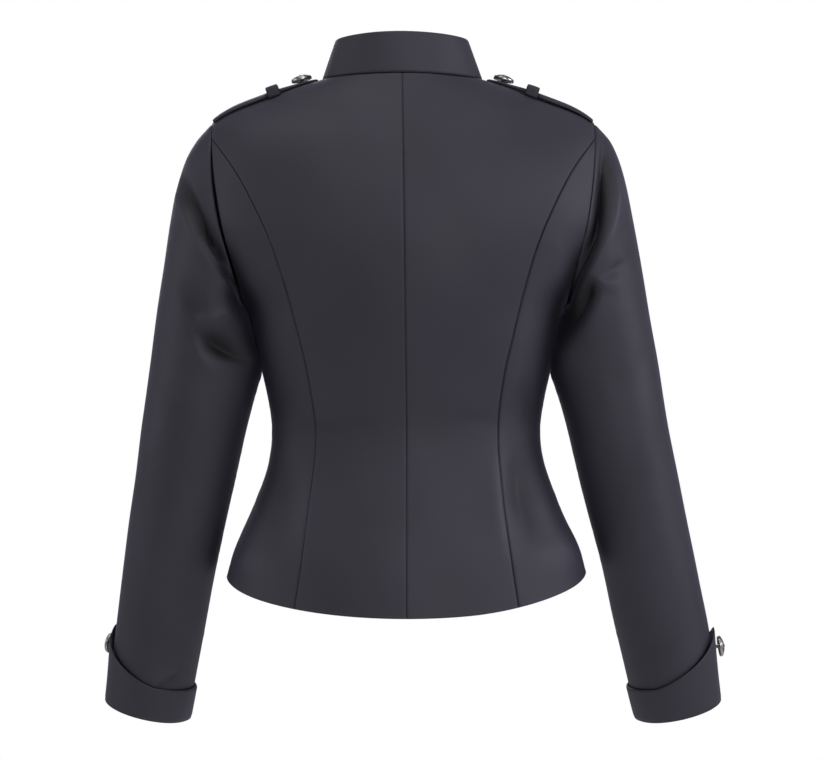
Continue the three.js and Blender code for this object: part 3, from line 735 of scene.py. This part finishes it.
def collarPoint(angle, height):
    foot = bodyPoint(angle, float(level["neck"]))
    top = ringPoint(angle, collarTop)
    height = np.asarray(height, float)[..., None]
    point = foot * (1 - height) + top * height
    point[..., 2] += collar["foot"] * (1 - height[..., 0])
    return point


def addCollar():
    end = float(movedAngle(math.pi, float(level["neck"]), -collar["endGap"] / 2))
    angles = np.linspace(-end, end, collar["columns"])[None]
    near = np.array([0, 0.6, 1.3, 2.3, 3.5]) / 41
    heights = edgeShares(near, collar["rows"])[:, None] + 0 * angles
    angles = angles + 0 * heights
    plain = collarPoint(angles, heights)
    inside = np.clip(heights, 0.02, 0.98)
    normals = -surfaceNormal(collarPoint, angles, inside, 0.01, 0.02)
    up = pathDistance(plain, 0, False)
    down = pathDistance(plain, 0, True)
    depth = seamDip(up) + puckers(angles * neckRadius, up, 0.2) + unevenness(plain, 0.3)
    depth = depth + 0.14 * np.exp(-(((down - collar["edgeLine"]) / 0.8) ** 2))
    depth = depth + 0.5 * np.exp(-((down / 0.9) ** 2))
    points = leaned(plain - normals * depth[..., None])
    uv = np.stack([angles * neckRadius, up], axis=-1)
    return addWall("collar", points, normals, collar["thickness"], uv, cloth, bulge=0.35)


collarPiece = addCollar()
print("stage: collar made")

# Sleeves: sections down the arm, the first eased into the armhole
sleeveSections = tableRows(
    ["along", "innerX", "innerZ", "outerX", "outerZ", "middleY", "halfDepth", "pitch"],
    [
        [0, 161, -222, 191, -43, 4, 57, 0],
        [16, 158, -227.5, 207.5, -63, 4, 61, 0],
        [38, 153.5, -236.5, 220.5, -95, 4, 63, 0],
        [65, 149.5, -247.5, 231, -141, 3, 63, 0],
        [99, 144.5, -263, 240.5, -196, 2, 62.2, 0],
        [136, 140.5, -283.5, 248.5, -250, 1, 58.8, 0],
        [172, 148.6, -307, 255.2, -292, 0, 56, 0.5],
        [213, 160.3, -349, 261.3, -331, -1, 54, 1.2],
        [275, 174.5, -410, 270.7, -392, -4, 50, 2.6],
        [342, 190.2, -475, 281.5, -457, -10, 46, 4],
        [408, 204, -540, 292.5, -522, -18, 43, 5],
        [504, 225, -638.5, 307, -620, -31, 40, 6],
    ],
)
sleeve = {
    "length": 504, "easeReach": 65, "thickness": 1.4, "foldStart": 10, "columns": 216,
    "foldedEnd": 270, "foldedRows": 176, "plainRows": 70, "radius": 48,
}
swing = {"left": -4.6, "right": 8, "fromZ": -250, "toZ": -640}
outerShift = {
    "left": [[-640, -0.5], [-545, -1], [-480, 0], [-330, 1.4], [-290, 2], [-110, 2], [-60, 0]],
    "right": [
        [-640, 0.5], [-600, 2], [-545, 3.4], [-500, 2], [-440, 0],
        [-340, -1.6], [-290, -2], [-110, -1.8], [-60, 0],
    ],
}
shiftCurve = {side: tableCurve(tableRows(["z", "shift"], rows), "z") for side, rows in outerShift.items()}
pinch = {"share": 0.45, "width": 0.5, "fromAlong": 400, "toAlong": 500}
press = {"clear": 0.7, "soft": 1.6, "fromZ": -222, "toZ": -228, "touch": 5}
sleeveCurve = tableCurve(sleeveSections, "along")
sleeveFolds = {
    "left": {
        "back": [
            [234, -70, 192, -154, 150, -208, 12.5, 13, 6],
            [200, -156, 184, -180, 162, -200, -3.2, 3.2, 6],
            [238, -84, 209, -152, 166, -216, -4.6, 7, 6],
            [224, -198, 209, -228, 196, -256, 3.4, 11, 14],
            [233, -190, 220, -226, 208, -258, -0.8, 11, 9],
            [210, -248, 180, -270, 146, -282, 11.0, 8, 15],
            [204, -252, 199, -276, 180, -296, -1.6, 9, 6],
            [208, -244, 188, -238, 164, -232, -2.8, 8, 6],
            [176, -206, 164, -222, 154, -240, 3.0, 8, 8],
            [240, -300, 224, -330, 196, -352, 1.2, 14, 16],
            [227, -590, 236, -597, 250, -607, 2.4, 3, 3.5],
            [233, -580, 243, -590, 254, -600, -1.3, 6, 6],
            [230, -550, 248, -556, 266, -550, 0.8, 9, 9],
            [216, -62, 207, -88, 203, -118, -1.4, 9, 8],
            [206, -70, 198, -104, 190, -140, 1.0, 6, 7],
        ],
        "front": [
            [214, -106, 199, -152, 172, -198, 5.2, 11, 6],
            [198, -158, 186, -178, 170, -194, -2.4, 4, 6],
            [224, -118, 208, -162, 184, -206, -2.2, 9, 8],
            [222, -205, 204, -236, 178, -262, 3.6, 7, 12],
            [208, -236, 196, -264, 178, -294, -2.0, 8, 6],
            [226, -310, 206, -330, 182, -340, 2.4, 8, 11],
            [236, -350, 216, -366, 190, -372, 1.8, 8, 10],
            [240, -322, 222, -344, 198, -356, -1.4, 8, 9],
            [236, -580, 250, -590, 268, -588, 1.2, 6, 8],
        ],
    },
    "right": {
        "back": [
            [196, -54, 189, -132, 153, -214, 14.0, 13, 7],
            [208, -76, 205, -142, 168, -212, -5.0, 8, 7],
            [217, -182, 206, -190, 192, -199, 2.2, 7, 5.5],
            [216, -199, 198, -205, 178, -206, -1.9, 7, 5],
            [186, -200, 172, -224, 148, -268, 10.5, 9, 11],
            [196, -212, 184, -232, 170, -262, -1.6, 10, 7],
            [214, -66, 216, -96, 214, -130, -1.0, 9, 7],
            [228, -160, 220, -182, 208, -204, 1.0, 8, 9],
            [238, -260, 222, -290, 196, -312, 1.2, 14, 16],
            [246, -380, 226, -392, 200, -396, 0.8, 14, 14],
            [232, -560, 252, -568, 272, -560, 0.9, 9, 10],
        ],
        "front": [
            [208, -92, 202, -148, 174, -206, 6.0, 8, 10],
            [214, -110, 208, -158, 186, -206, -2.4, 7, 5],
            [224, -224, 206, -250, 178, -272, 3.2, 8, 12],
            [208, -240, 198, -268, 184, -300, -1.8, 8, 6],
            [228, -314, 208, -336, 184, -346, 2.2, 8, 11],
            [238, -356, 218, -372, 194, -378, 1.6, 8, 10],
            [238, -582, 252, -594, 268, -594, 1.1, 6, 8],
        ],
    },
}


def armholePoint(turn):
    wrapped = np.mod(turn, 2 * math.pi)
    at = armholeLevel(wrapped)
    back = bodyPoint(armholeAngle(at, "back"), at)
    ahead = bodyPoint(armholeAngle(at, "front"), at)
    point = np.where((wrapped <= math.pi)[..., None], back, ahead)
    point[..., 0] += 0.15
    return point


def sleeveEdge(along, edge):
    x = sleeveCurve(along, edge + "X")
    z = sleeveCurve(along, edge + "Z")
    return np.stack(np.broadcast_arrays(x, 0.0, z), axis=-1)


def sectionPoint(turn, along):
    share = ((1 - np.cos(turn)) / 2)[..., None]
    point = sleeveEdge(along, "inner") * (1 - share) + sleeveEdge(along, "outer") * share
    point[..., 1] = sleeveCurve(along, "middleY") + sleeveCurve(along, "halfDepth") * np.sin(turn)
    point[..., 2] -= sleeveCurve(along, "pitch") * np.sin(turn)
    return point


# Below the armhole the arm rests on the body, which presses the sleeve flat there.
def flankX(y, z):
    at = levelWhere("hem", "underarm", z.shape, lambda place: sideHeight(place) - z)
    depth = np.where(y > 0, bodyCurve(at, "back"), bodyCurve(at, "front"))
    power = bodyCurve(at, "square")
    reach = np.maximum(1 - (np.abs(y) / depth) ** power, 0)
    return bodyCurve(at, "halfWidth") * reach ** (1 / power)


def pressed(points):
    share = smoothStep(-press["fromZ"], -press["toZ"], -points[..., 2])
    least = flankX(points[..., 1], points[..., 2]) + press["clear"]
    over = points[..., 0] - least
    flat = least + (over + np.hypot(over, press["soft"])) / 2
    moved = points.copy()
    moved[..., 0] += (flat - points[..., 0]) * share
    return moved


def plainSleeve(turn, along, side):
    turn, along = np.broadcast_arrays(np.asarray(turn, float), np.asarray(along, float))
    point = sectionPoint(turn, along)
    ease = 1 - np.minimum(along / sleeve["easeReach"], 1)
    ease = (ease * ease * (3 - 2 * ease))[..., None]
    if np.any(ease > 0):
        correction = armholePoint(turn) - sectionPoint(turn, 0 * along)
        point = point + correction * ease
    hang = np.clip((swing["fromZ"] - point[..., 2]) / (swing["fromZ"] - swing["toZ"]), 0, 1)
    point[..., 0] += swing[side] * hang * hang
    point[..., 0] += shiftCurve[side](point[..., 2], "shift") * (1 - np.cos(turn)) / 2
    flat = pinch["share"] * smoothStep(pinch["fromAlong"], pinch["toAlong"], along)
    wrapped = np.mod(turn, 2 * math.pi)
    fromInner = np.minimum(wrapped, 2 * math.pi - wrapped)
    narrowed = 1 - flat * np.exp(-((fromInner / pinch["width"]) ** 2))
    middle = sleeveCurve(along, "middleY")
    point[..., 1] = middle + (point[..., 1] - middle) * narrowed
    return pressed(point)


def tubeNormals(points):
    ahead = np.roll(points, -1, axis=1) - np.roll(points, 1, axis=1)
    down = np.gradient(points, axis=0)
    return unit(np.cross(ahead, down))


def sleeveGrid(side):
    turns = np.linspace(0, 2 * math.pi, sleeve["columns"], endpoint=False)
    near = np.array([0, 0.5, 1.1, 1.9, 3.0, 4.5])
    folded = np.linspace(6.5, sleeve["foldedEnd"], sleeve["foldedRows"])
    hanging = np.linspace(sleeve["foldedEnd"], sleeve["length"], sleeve["plainRows"])[1:]
    alongs = np.concatenate([near, folded, hanging])
    return turns, alongs, plainSleeve(turns[None], alongs[:, None], side)


def addSleeve(side):
    turns, alongs, plain = sleeveGrid(side)
    normals = tubeNormals(plain)
    depth = np.zeros(plain.shape[:2])
    for face, sign in (("back", 1), ("front", -1)):
        facing = smoothStep(0.02, 0.45, sign * np.sin(turns))[None]
        depth += foldField(plain[..., 0], plain[..., 2], sleeveFolds[side][face]) * facing
    depth *= smoothStep(0, sleeve["foldStart"], alongs)[:, None]
    shown = plain if side == "left" else mirroredPoints(plain)
    depth += unevenness(shown, 0.45)
    apart = plain[..., 0] - flankX(plain[..., 1], plain[..., 2]) - press["clear"]
    below = smoothStep(-press["fromZ"], -press["toZ"], -plain[..., 2])
    depth *= 1 - below * np.exp(-((apart / press["touch"]) ** 2))
    girth = (turns * sleeve["radius"])[None] + 0 * plain[..., 0]
    depth += seamDip(alongs)[:, None] + puckers(girth, alongs[:, None], 0.2)
    underarm = np.minimum(turns, 2 * math.pi - turns)[None] * sleeve["radius"] + 0 * plain[..., 0]
    depth += seamDip(underarm) + puckers(alongs[:, None] + 0 * underarm, underarm, 0.15)
    outer = plain - normals * depth[..., None]
    normals = tubeNormals(outer)
    inner = outer - normals * sleeve["thickness"]
    edge = armholePoint(turns)
    inner[0, :, 0] = np.maximum(inner[0, :, 0], edge[:, 0])
    bottom = (outer[-1:] + inner[-1:]) / 2 + unit(outer[-1:] - outer[-2:-1]) * sleeve["thickness"] * 0.3
    # The inside needs only every third row.
    kept = np.unique(np.concatenate([np.arange(6), np.arange(6, len(alongs), 3), [len(alongs) - 1]]))[::-1]
    loops = np.concatenate([outer, bottom, inner[kept]])
    # The sleeve's fold depth goes along as hollow, for painted shade and highlight in the cloth's colour;
    # the inside gets none.
    hollow = np.concatenate([depth, np.zeros((len(kept) + 1, sleeve["columns"]))])
    uvAlong = np.concatenate([alongs, alongs[-1:] + 0.7, alongs[kept]])
    if side == "right":
        loops = mirroredPoints(loops)[:, ::-1]
        hollow = hollow[:, ::-1]
    girthStep = 2 * math.pi * sleeve["radius"] / sleeve["columns"]
    return addTube("sleeve_" + side, leaned(loops), girthStep, uvAlong, cloth, hollow)


sleeves = {side: addSleeve(side) for side in ("left", "right")}
print("stage: sleeves made")

# Cuffs: turned back over the sleeve's end and rising to a point with a button
cuff = {
    "low": 30, "peak": 71, "spread": 2.15, "curve": 1.35, "thickness": 2.0, "standOff": 2.9, "flare": 3.4,
    "lip": 1.9, "lining": 0.5, "clear": 0.35, "columns": 192, "rows": 26,
}
cuffPeakTurn = {"left": math.pi + 0.36, "right": math.pi}


def cuffHeight(turn, side):
    apart = np.abs(turn - cuffPeakTurn[side])
    away = np.minimum(apart, 2 * math.pi - apart) / cuff["spread"]
    rise = np.maximum(0, 1 - away) ** cuff["curve"]
    blunt = np.sqrt(rise * rise + 0.0008) - 0.0283      # softens the foot of the slope
    tip = -0.02 * np.exp(-((apart / 0.05) ** 2))        # a sewn point is never quite sharp
    return cuff["low"] + (cuff["peak"] - cuff["low"]) * (blunt + tip)


def cuffOut(turn, share, side):
    rise = (cuffHeight(turn, side) - cuff["low"]) / (cuff["peak"] - cuff["low"])
    return cuff["standOff"] + cuff["flare"] * rise * share * share


def sleeveNormalAt(turn, along, side):
    inside = np.clip(along, 2.5, sleeve["length"] - 2.5)
    return surfaceNormal(lambda u, v: plainSleeve(u, v, side), turn, inside, 0.02, 2.5)


def sleeveAxis(side):
    ends = []
    for along in (sleeve["length"], sleeve["length"] - cuff["low"]):
        ends.append(plainSleeve(np.array([0.0, math.pi]), np.array([along, along]), side).mean(0))
    return unit(ends[0] - ends[1])


def cuffPoint(turn, height, out, side):
    along = sleeve["length"] - height
    point = plainSleeve(turn, np.minimum(along, sleeve["length"]), side)
    normal = sleeveNormalAt(turn, along, side)
    below = np.maximum(-height, 0)[..., None]
    return point + sleeveAxis(side) * below + normal * out[..., None]


def addCuff(side):
    turns = np.linspace(0, 2 * math.pi, cuff["columns"], endpoint=False)
    heights = cuffHeight(turns, side)
    shares = edgeShares([0, 0.014, 0.03, 0.055, 0.09], cuff["rows"])

    def loop(height, out):
        return cuffPoint(turns, height + 0 * turns, out + 0 * turns, side)

    outer = []
    inner = []
    for share in shares:
        up = heights * share
        wave = unevenness(plainSleeve(turns, sleeve["length"] - up, side), 0.35)
        fromTop = heights * (1 - share)
        rolled = 0.5 * np.exp(-((fromTop / 0.9) ** 2)) + 0.45 * np.exp(-((up / 1.2) ** 2))
        gape = 0.5 * share * np.sin(3 * turns + (0.6 if side == "left" else 2.1))
        out = cuffOut(turns, share, side) - wave + gape
        outer.append(loop(up, out - rolled))
        inner.append(loop(up, out - cuff["thickness"]))
    lipTop = -cuff["clear"]
    lipEnd = lipTop - cuff["lip"]
    inside = 1.6 + cuff["lining"]
    topRim = loop(heights + 0.5, cuffOut(turns, 1.0, side) - cuff["thickness"] / 2)
    lip = [
        loop(lipTop - 0.6, cuff["standOff"] - 0.25),
        loop(lipEnd + 0.5, cuff["standOff"] - 0.7),
        loop(lipEnd, cuff["standOff"] - 1.5),
        loop(lipEnd, -inside + 1.0),
        loop(lipEnd + 0.4, -inside + 0.35),
        loop(lipTop - 0.5, -inside),
        loop(lipTop, -inside + 0.3),
        loop(lipTop, cuff["standOff"] - cuff["thickness"]),
    ]
    loops = np.stack(outer[::-1] + lip + inner + [topRim])
    uvAlong = np.concatenate([shares[::-1] * 45, -np.arange(len(lip)) * 0.8, shares * 45, [45.5]])
    if side == "right":
        loops = mirroredPoints(loops)[:, ::-1]
    return addTube("cuff_" + side, leaned(loops), 2 * math.pi * 46 / cuff["columns"], uvAlong, cloth)


cuffs = {side: addCuff(side) for side in ("left", "right")}
print("stage: cuffs made")

# Shoulder straps and keepers
strap = {
    "outerX": 189, "shoulderX": 104, "tipX": 85, "outerHalf": 19, "shoulderHalf": 16, "tipHalf": 2.5,
    "thickness": 2.2,
}
strapLift = tableRows(
    ["x", "lift", "drop"],
    [[85, 0.7, 1], [104, 1.4, 2], [134, 3.2, 5.4], [162, 2.7, 4.8], [189, 0.8, 3]],
)
strapCurve = tableCurve(strapLift, "x")
keeper = {"x": 128, "width": 12, "wall": 1.4, "halfSpan": 22.5, "footDrop": 3.6, "height": 8, "corner": 3}


def shoulderHeight(x):
    x = np.asarray(x, float)
    at = levelWhere("shoulder", "neck", x.shape, lambda place: x - bodyCurve(place, "halfWidth"))
    return sideHeight(at)


def strapHalf(x):
    places = [strap["tipX"], strap["shoulderX"], strap["outerX"]]
    return np.interp(x, places, [strap["tipHalf"], strap["shoulderHalf"], strap["outerHalf"]])


def strapSurface(x, y):
    ridge = shoulderHeight(x) + strapCurve(x, "lift") + strap["thickness"]
    z = ridge - strapCurve(x, "drop") * (y / strap["outerHalf"]) ** 2
    return np.stack(np.broadcast_arrays(x, y, z), axis=-1)


def strapTop(x, y):
    inside = strapHalf(x) - np.abs(y)
    toTip = x - strap["tipX"]
    apart = np.minimum(inside, toTip)
    point = strapSurface(x, y)
    roll = 0.6 * np.exp(-((apart / 1.0) ** 2)) + 0.16 * np.exp(-(((apart - 3.0) / 0.7) ** 2))
    pillow = -0.25 * np.exp(-(((apart - 1.7) / 0.9) ** 2))
    wave = unevenness(point, 0.3)
    normal = surfaceNormal(strapSurface, x, y, 0.5, 0.5)
    return point - normal * (roll + pillow + wave)[..., None], normal


def addStrap(side):
    tip = np.linspace(strap["tipX"], strap["shoulderX"], 22)
    xs = np.concatenate([tip, np.linspace(strap["shoulderX"], strap["outerX"], 64)[1:]])
    shares = edgeShares([0, 0.02, 0.05, 0.09, 0.14, 0.19, 0.24], 16)
    x = xs[:, None] + 0 * shares[None]
    y = strapHalf(xs)[:, None] * (2 * shares[None] - 1)
    points, normals = strapTop(x, y)
    uv = np.stack([x, y], axis=-1)
    points, normals = onSide(side, points, normals)
    return addWall("strap_" + side, leaned(points), normals, strap["thickness"], uv, cloth, bulge=0.35)


def keeperProfile():
    foot = 0.2 - keeper["footDrop"]
    half = keeper["halfSpan"]
    corner = keeper["corner"]
    bend = keeper["height"] - corner
    leg = [[-half, foot + (bend - foot) * k / 5] for k in range(5)]
    for turn in (math.pi / 2 * k / 6 for k in range(7)):
        leg.append([corner - half - corner * math.cos(turn), bend + corner * math.sin(turn)])
    flat = np.linspace(-half + corner, half - corner, 16)[1:-1]
    top = [[y, keeper["height"] + 0.35 * math.cos(y / half * math.pi / 2)] for y in flat]
    return np.array(leg + top + [[-y, z] for y, z in leg[::-1]])


def addKeeper(side):
    profile = keeperProfile()
    half = keeper["width"] / 2
    fall = float(shoulderHeight(keeper["x"] - half) - shoulderHeight(keeper["x"] + half))
    slope = math.atan2(fall, keeper["width"])
    runs = np.array([0, 0.4, 1.0, 1.8, 2.6, 4.0, 6.0, 8.0, 9.4, 10.2, 11.0, 11.6, 12.0]) - half
    grid = np.zeros((len(runs), len(profile), 3))
    grid[..., 0] = runs[:, None]
    grid[..., 1] = profile[None, :, 0]
    grid[..., 2] = profile[None, :, 1]
    tangent = unit(np.gradient(profile, axis=0))
    outward = np.stack([np.zeros(len(profile)), -tangent[:, 1], tangent[:, 0]], axis=-1)[None] + 0 * grid
    apart = np.minimum(runs + half, half - runs)[:, None]
    dip = 0.45 * np.exp(-((apart / 0.7) ** 2)) + 0.12 * np.exp(-(((apart - 2.2) / 0.5) ** 2))
    grid = grid - outward * dip[..., None]
    turn = np.array(Matrix.Rotation(slope, 3, "Y"))
    base = np.array([keeper["x"], 0.0, float(shoulderHeight(keeper["x"]))])
    points = grid @ turn.T + base
    normals = outward @ turn.T
    across = np.arange(1, len(profile) + 1)[None] * 1.6 + 0 * grid[..., 0]
    uv = np.stack([grid[..., 0], across], axis=-1)
    points, normals = onSide(side, points, normals)
    return addWall("keeper_" + side, leaned(points), normals, keeper["wall"], uv, cloth, bulge=0.3)


straps = {side: addStrap(side) for side in ("left", "right")}
keepers = {side: addKeeper(side) for side in ("left", "right")}
print("stage: straps made")

# Buttons: a cast dome with a rope rim, a plain eight-petalled rosette and a round boss, on a shank
button = {"radius": 10.5, "petals": 8, "strands": 30}


def buttonRelief(radius, turn):
    share = radius / button["radius"]
    dome = 3.2 * (1 - share**2)
    petal = np.abs(np.cos(button["petals"] * turn / 2))
    body = smoothStep(2.6, 3.6, radius) * (1 - smoothStep(7.6, 8.6, radius))
    leaf = 0.85 * petal**0.6 * body
    vein = 0.22 * np.exp(-(((petal - 1) / 0.04) ** 2)) * body
    ropeShape = np.sqrt(np.maximum(0, 1 - ((radius - 9.6) / 0.9) ** 2))
    rope = 1.0 * ropeShape * (0.78 + 0.22 * np.cos(button["strands"] * turn + radius * 2.2))
    boss = 1.25 * np.sqrt(np.maximum(0, 1 - (radius / 2.1) ** 2))
    ring = 0.35 * np.exp(-(((radius - 2.75) / 0.28) ** 2))
    return dome + leaf - vein + rope + boss + ring


def buttonShape():
    columns = 96
    radii = np.concatenate([[0.02], np.linspace(0.35, 8.4, 26), np.linspace(8.6, 10.5, 12)])
    turns = np.linspace(0, 2 * math.pi, columns, endpoint=False)
    radius = radii[:, None] + 0 * turns[None]
    turn = turns[None] + 0 * radius
    base = 4.6 + buttonRelief(radius, turn)
    rings = [np.stack([radius * np.cos(turn), radius * np.sin(turn), base], axis=-1)]
    under = [
        [10.5, 3.6], [10.4, 2.9], [10.0, 2.5], [9.3, 2.4], [8.6, 2.6], [7.8, 3.2], [4.0, 3.4], [2.2, 3.3],
        [1.8, 2.9], [1.7, 2.2], [1.7, 1.3], [1.8, 0.8], [2.1, 0.45], [2.0, 0.36], [0.02, 0.36],
    ]
    for reach, height in under:
        loop = np.stack([reach * np.cos(turns), reach * np.sin(turns), np.full(columns, height)], axis=-1)
        rings.append(loop[None])
    loops = np.concatenate(rings)
    rows = len(loops)
    i, j = np.meshgrid(np.arange(rows - 1), np.arange(columns), indexing="ij")
    nextJ = (j + 1) % columns
    corners = [i * columns + j, (i + 1) * columns + j, (i + 1) * columns + nextJ, i * columns + nextJ]
    faces = np.stack([c.ravel() for c in corners], axis=-1)
    return loops.reshape(-1, 3), faces


buttonVertices, buttonFaces = buttonShape()


def addButton(name, place, direction, roll):
    turn = np.array(Vector((0, 0, 1)).rotation_difference(Vector(direction)).to_matrix())
    spun = buttonVertices @ np.array(Matrix.Rotation(roll, 3, "Z")).T
    point = leaned(place[None])[0]
    vertices = spun @ turn.T + point
    piece = addMesh(name, vertices, buttonFaces, None, silver, "button")
    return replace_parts(piece, name)


strapButtonX = np.array(100.0)
strapPlace = strapSurface(strapButtonX, np.array(0.0))
strapDirection = surfaceNormal(strapSurface, strapButtonX, np.array(0.0), 0.5, 0.5)
for side, roll in (("left", 0.3), ("right", 1.1)):
    place, direction = onSide(side, strapPlace, strapDirection)
    addButton("button_strap_" + side, place, direction, roll)
cuffButtonHeight = 50
for side, roll in (("left", 0.7), ("right", 0.2)):
    turn = np.array(cuffPeakTurn[side])
    height = np.array(float(cuffButtonHeight))
    out = cuffOut(turn, cuffButtonHeight / cuff["peak"], side)
    place = cuffPoint(turn, height, out, side)
    direction = sleeveNormalAt(turn, sleeve["length"] - height, side)
    place, direction = onSide(side, place, direction)
    addButton("button_cuff_" + side, place, direction, roll)
frontRow = {"count": 7, "topZ": -70, "bottomZ": -478, "rollStep": 0.37}
ahead = np.array(math.pi)
for k in range(frontRow["count"]):
    z = frontRow["topZ"] + (frontRow["bottomZ"] - frontRow["topZ"]) * k / (frontRow["count"] - 1)
    at = levelWhere("hem", "neck", (), lambda place: bodyPoint(ahead, place)[..., 2] - z)
    direction = bodyNormal(ahead, at)
    place = bodyPoint(ahead, at) + direction * front["raise"]
    addButton(f"button_front_{k + 1}", place, direction, frontRow["rollStep"] * k)
print("stage: buttons made")


# What each cloth piece replaces
clothPieces = dict(panels)
clothPieces["collar"] = collarPiece
for side in ("left", "right"):
    for kind, pair in (("sleeve", sleeves), ("cuff", cuffs), ("strap", straps), ("keeper", keepers)):
        clothPieces[f"{kind}_{side}"] = pair[side]
for name, piece in clothPieces.items():
    side = "right" if name.endswith("right") else "left"
    kind = name.removesuffix("_" + side)
    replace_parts(piece, name)

# Floor, light and camera
centre = Vector((-0.004, 0, -0.299))


def addFloor():
    size = 4.0
    height = -1.35      # as far below the jacket as a stand would hold it
    corners = [(x, y, height) for x, y in ((-size, -size), (size, -size), (size, size), (-size, size))]
    mesh = bpy.data.meshes.new("floor")
    mesh.from_pydata(corners, [], [(0, 1, 2, 3)])
    material, tree, shader = newMaterial("matt white paint")
    shader.inputs["Base Color"].default_value = linear("#f4f4f4")
    shader.inputs["Roughness"].default_value = 0.9
    shader.inputs["Emission Color"].default_value = linear("#ffffff")
    seen = addNode(tree, "ShaderNodeLightPath").outputs["Is Camera Ray"]
    # A glow that only the camera sees keeps the floor pale without lighting the cloth.
    glow = addNode(tree, "ShaderNodeMath", {0: seen, 1: 0.5}, operation="MULTIPLY").outputs[0]
    tree.links.new(glow, shader.inputs["Emission Strength"])
    mesh.materials.append(material)
    floor = bpy.data.objects.new("floor", mesh)
    bpy.context.collection.objects.link(floor)


def addLight(name, place, size, power, colour="#f5f4fe"):
    data = bpy.data.lights.new(name, "AREA")
    data.shape = "DISK"
    data.size = size
    data.energy = power
    data.color = linear(colour)[:3]
    light = bpy.data.objects.new(name, data)
    light.location = place
    light.rotation_euler = (centre - Vector(place)).to_track_quat("-Z", "Y").to_euler()
    bpy.context.collection.objects.link(light)


def addWorld():
    world = bpy.data.worlds.new("studio")
    bpy.context.scene.world = world
    world.use_nodes = True
    tree = world.node_tree
    tree.nodes.clear()
    seen = addNode(tree, "ShaderNodeLightPath").outputs["Is Camera Ray"]
    soft = addNode(tree, "ShaderNodeBackground", {"Color": linear("#f1f1f6"), "Strength": 0.18}).outputs[0]
    white = addNode(tree, "ShaderNodeBackground", {"Color": (1, 1, 1, 1), "Strength": 1.0}).outputs[0]
    mixed = addNode(tree, "ShaderNodeMixShader", {0: seen, 1: soft, 2: white}).outputs[0]
    addNode(tree, "ShaderNodeOutputWorld", {"Surface": mixed})


cameraView = {"distance": 2.5, "width": 0.821, "sensor": 36}


def addCamera():
    data = bpy.data.cameras.new("camera")
    data.sensor_width = cameraView["sensor"]
    data.lens = cameraView["sensor"] * cameraView["distance"] / cameraView["width"]
    data.clip_start = 0.05
    data.clip_end = 40
    camera = bpy.data.objects.new("camera", data)
    camera.location = centre + Vector((0, cameraView["distance"], 0))
    camera.rotation_euler = Vector((0, -1, 0)).to_track_quat("-Z", "Y").to_euler()
    bpy.context.collection.objects.link(camera)
    bpy.context.scene.camera = camera


addFloor()
addLight("key", (-2.7, 0.6, 0.6), 1.4, 31, "#f0ecff")
addLight("side", (2.7, 0.5, 0.4), 1.4, 13)
addLight("back", (-0.9, 2.9, 0.8), 1.2, 24)
addLight("top", (0.3, 0.6, 2.0), 1.4, 15)
addLight("face", (0.4, -2.6, 0.5), 1.8, 22)
addWorld()
addCamera()
bpy.context.scene.view_settings.view_transform = "Standard"
print("stage: studio made")
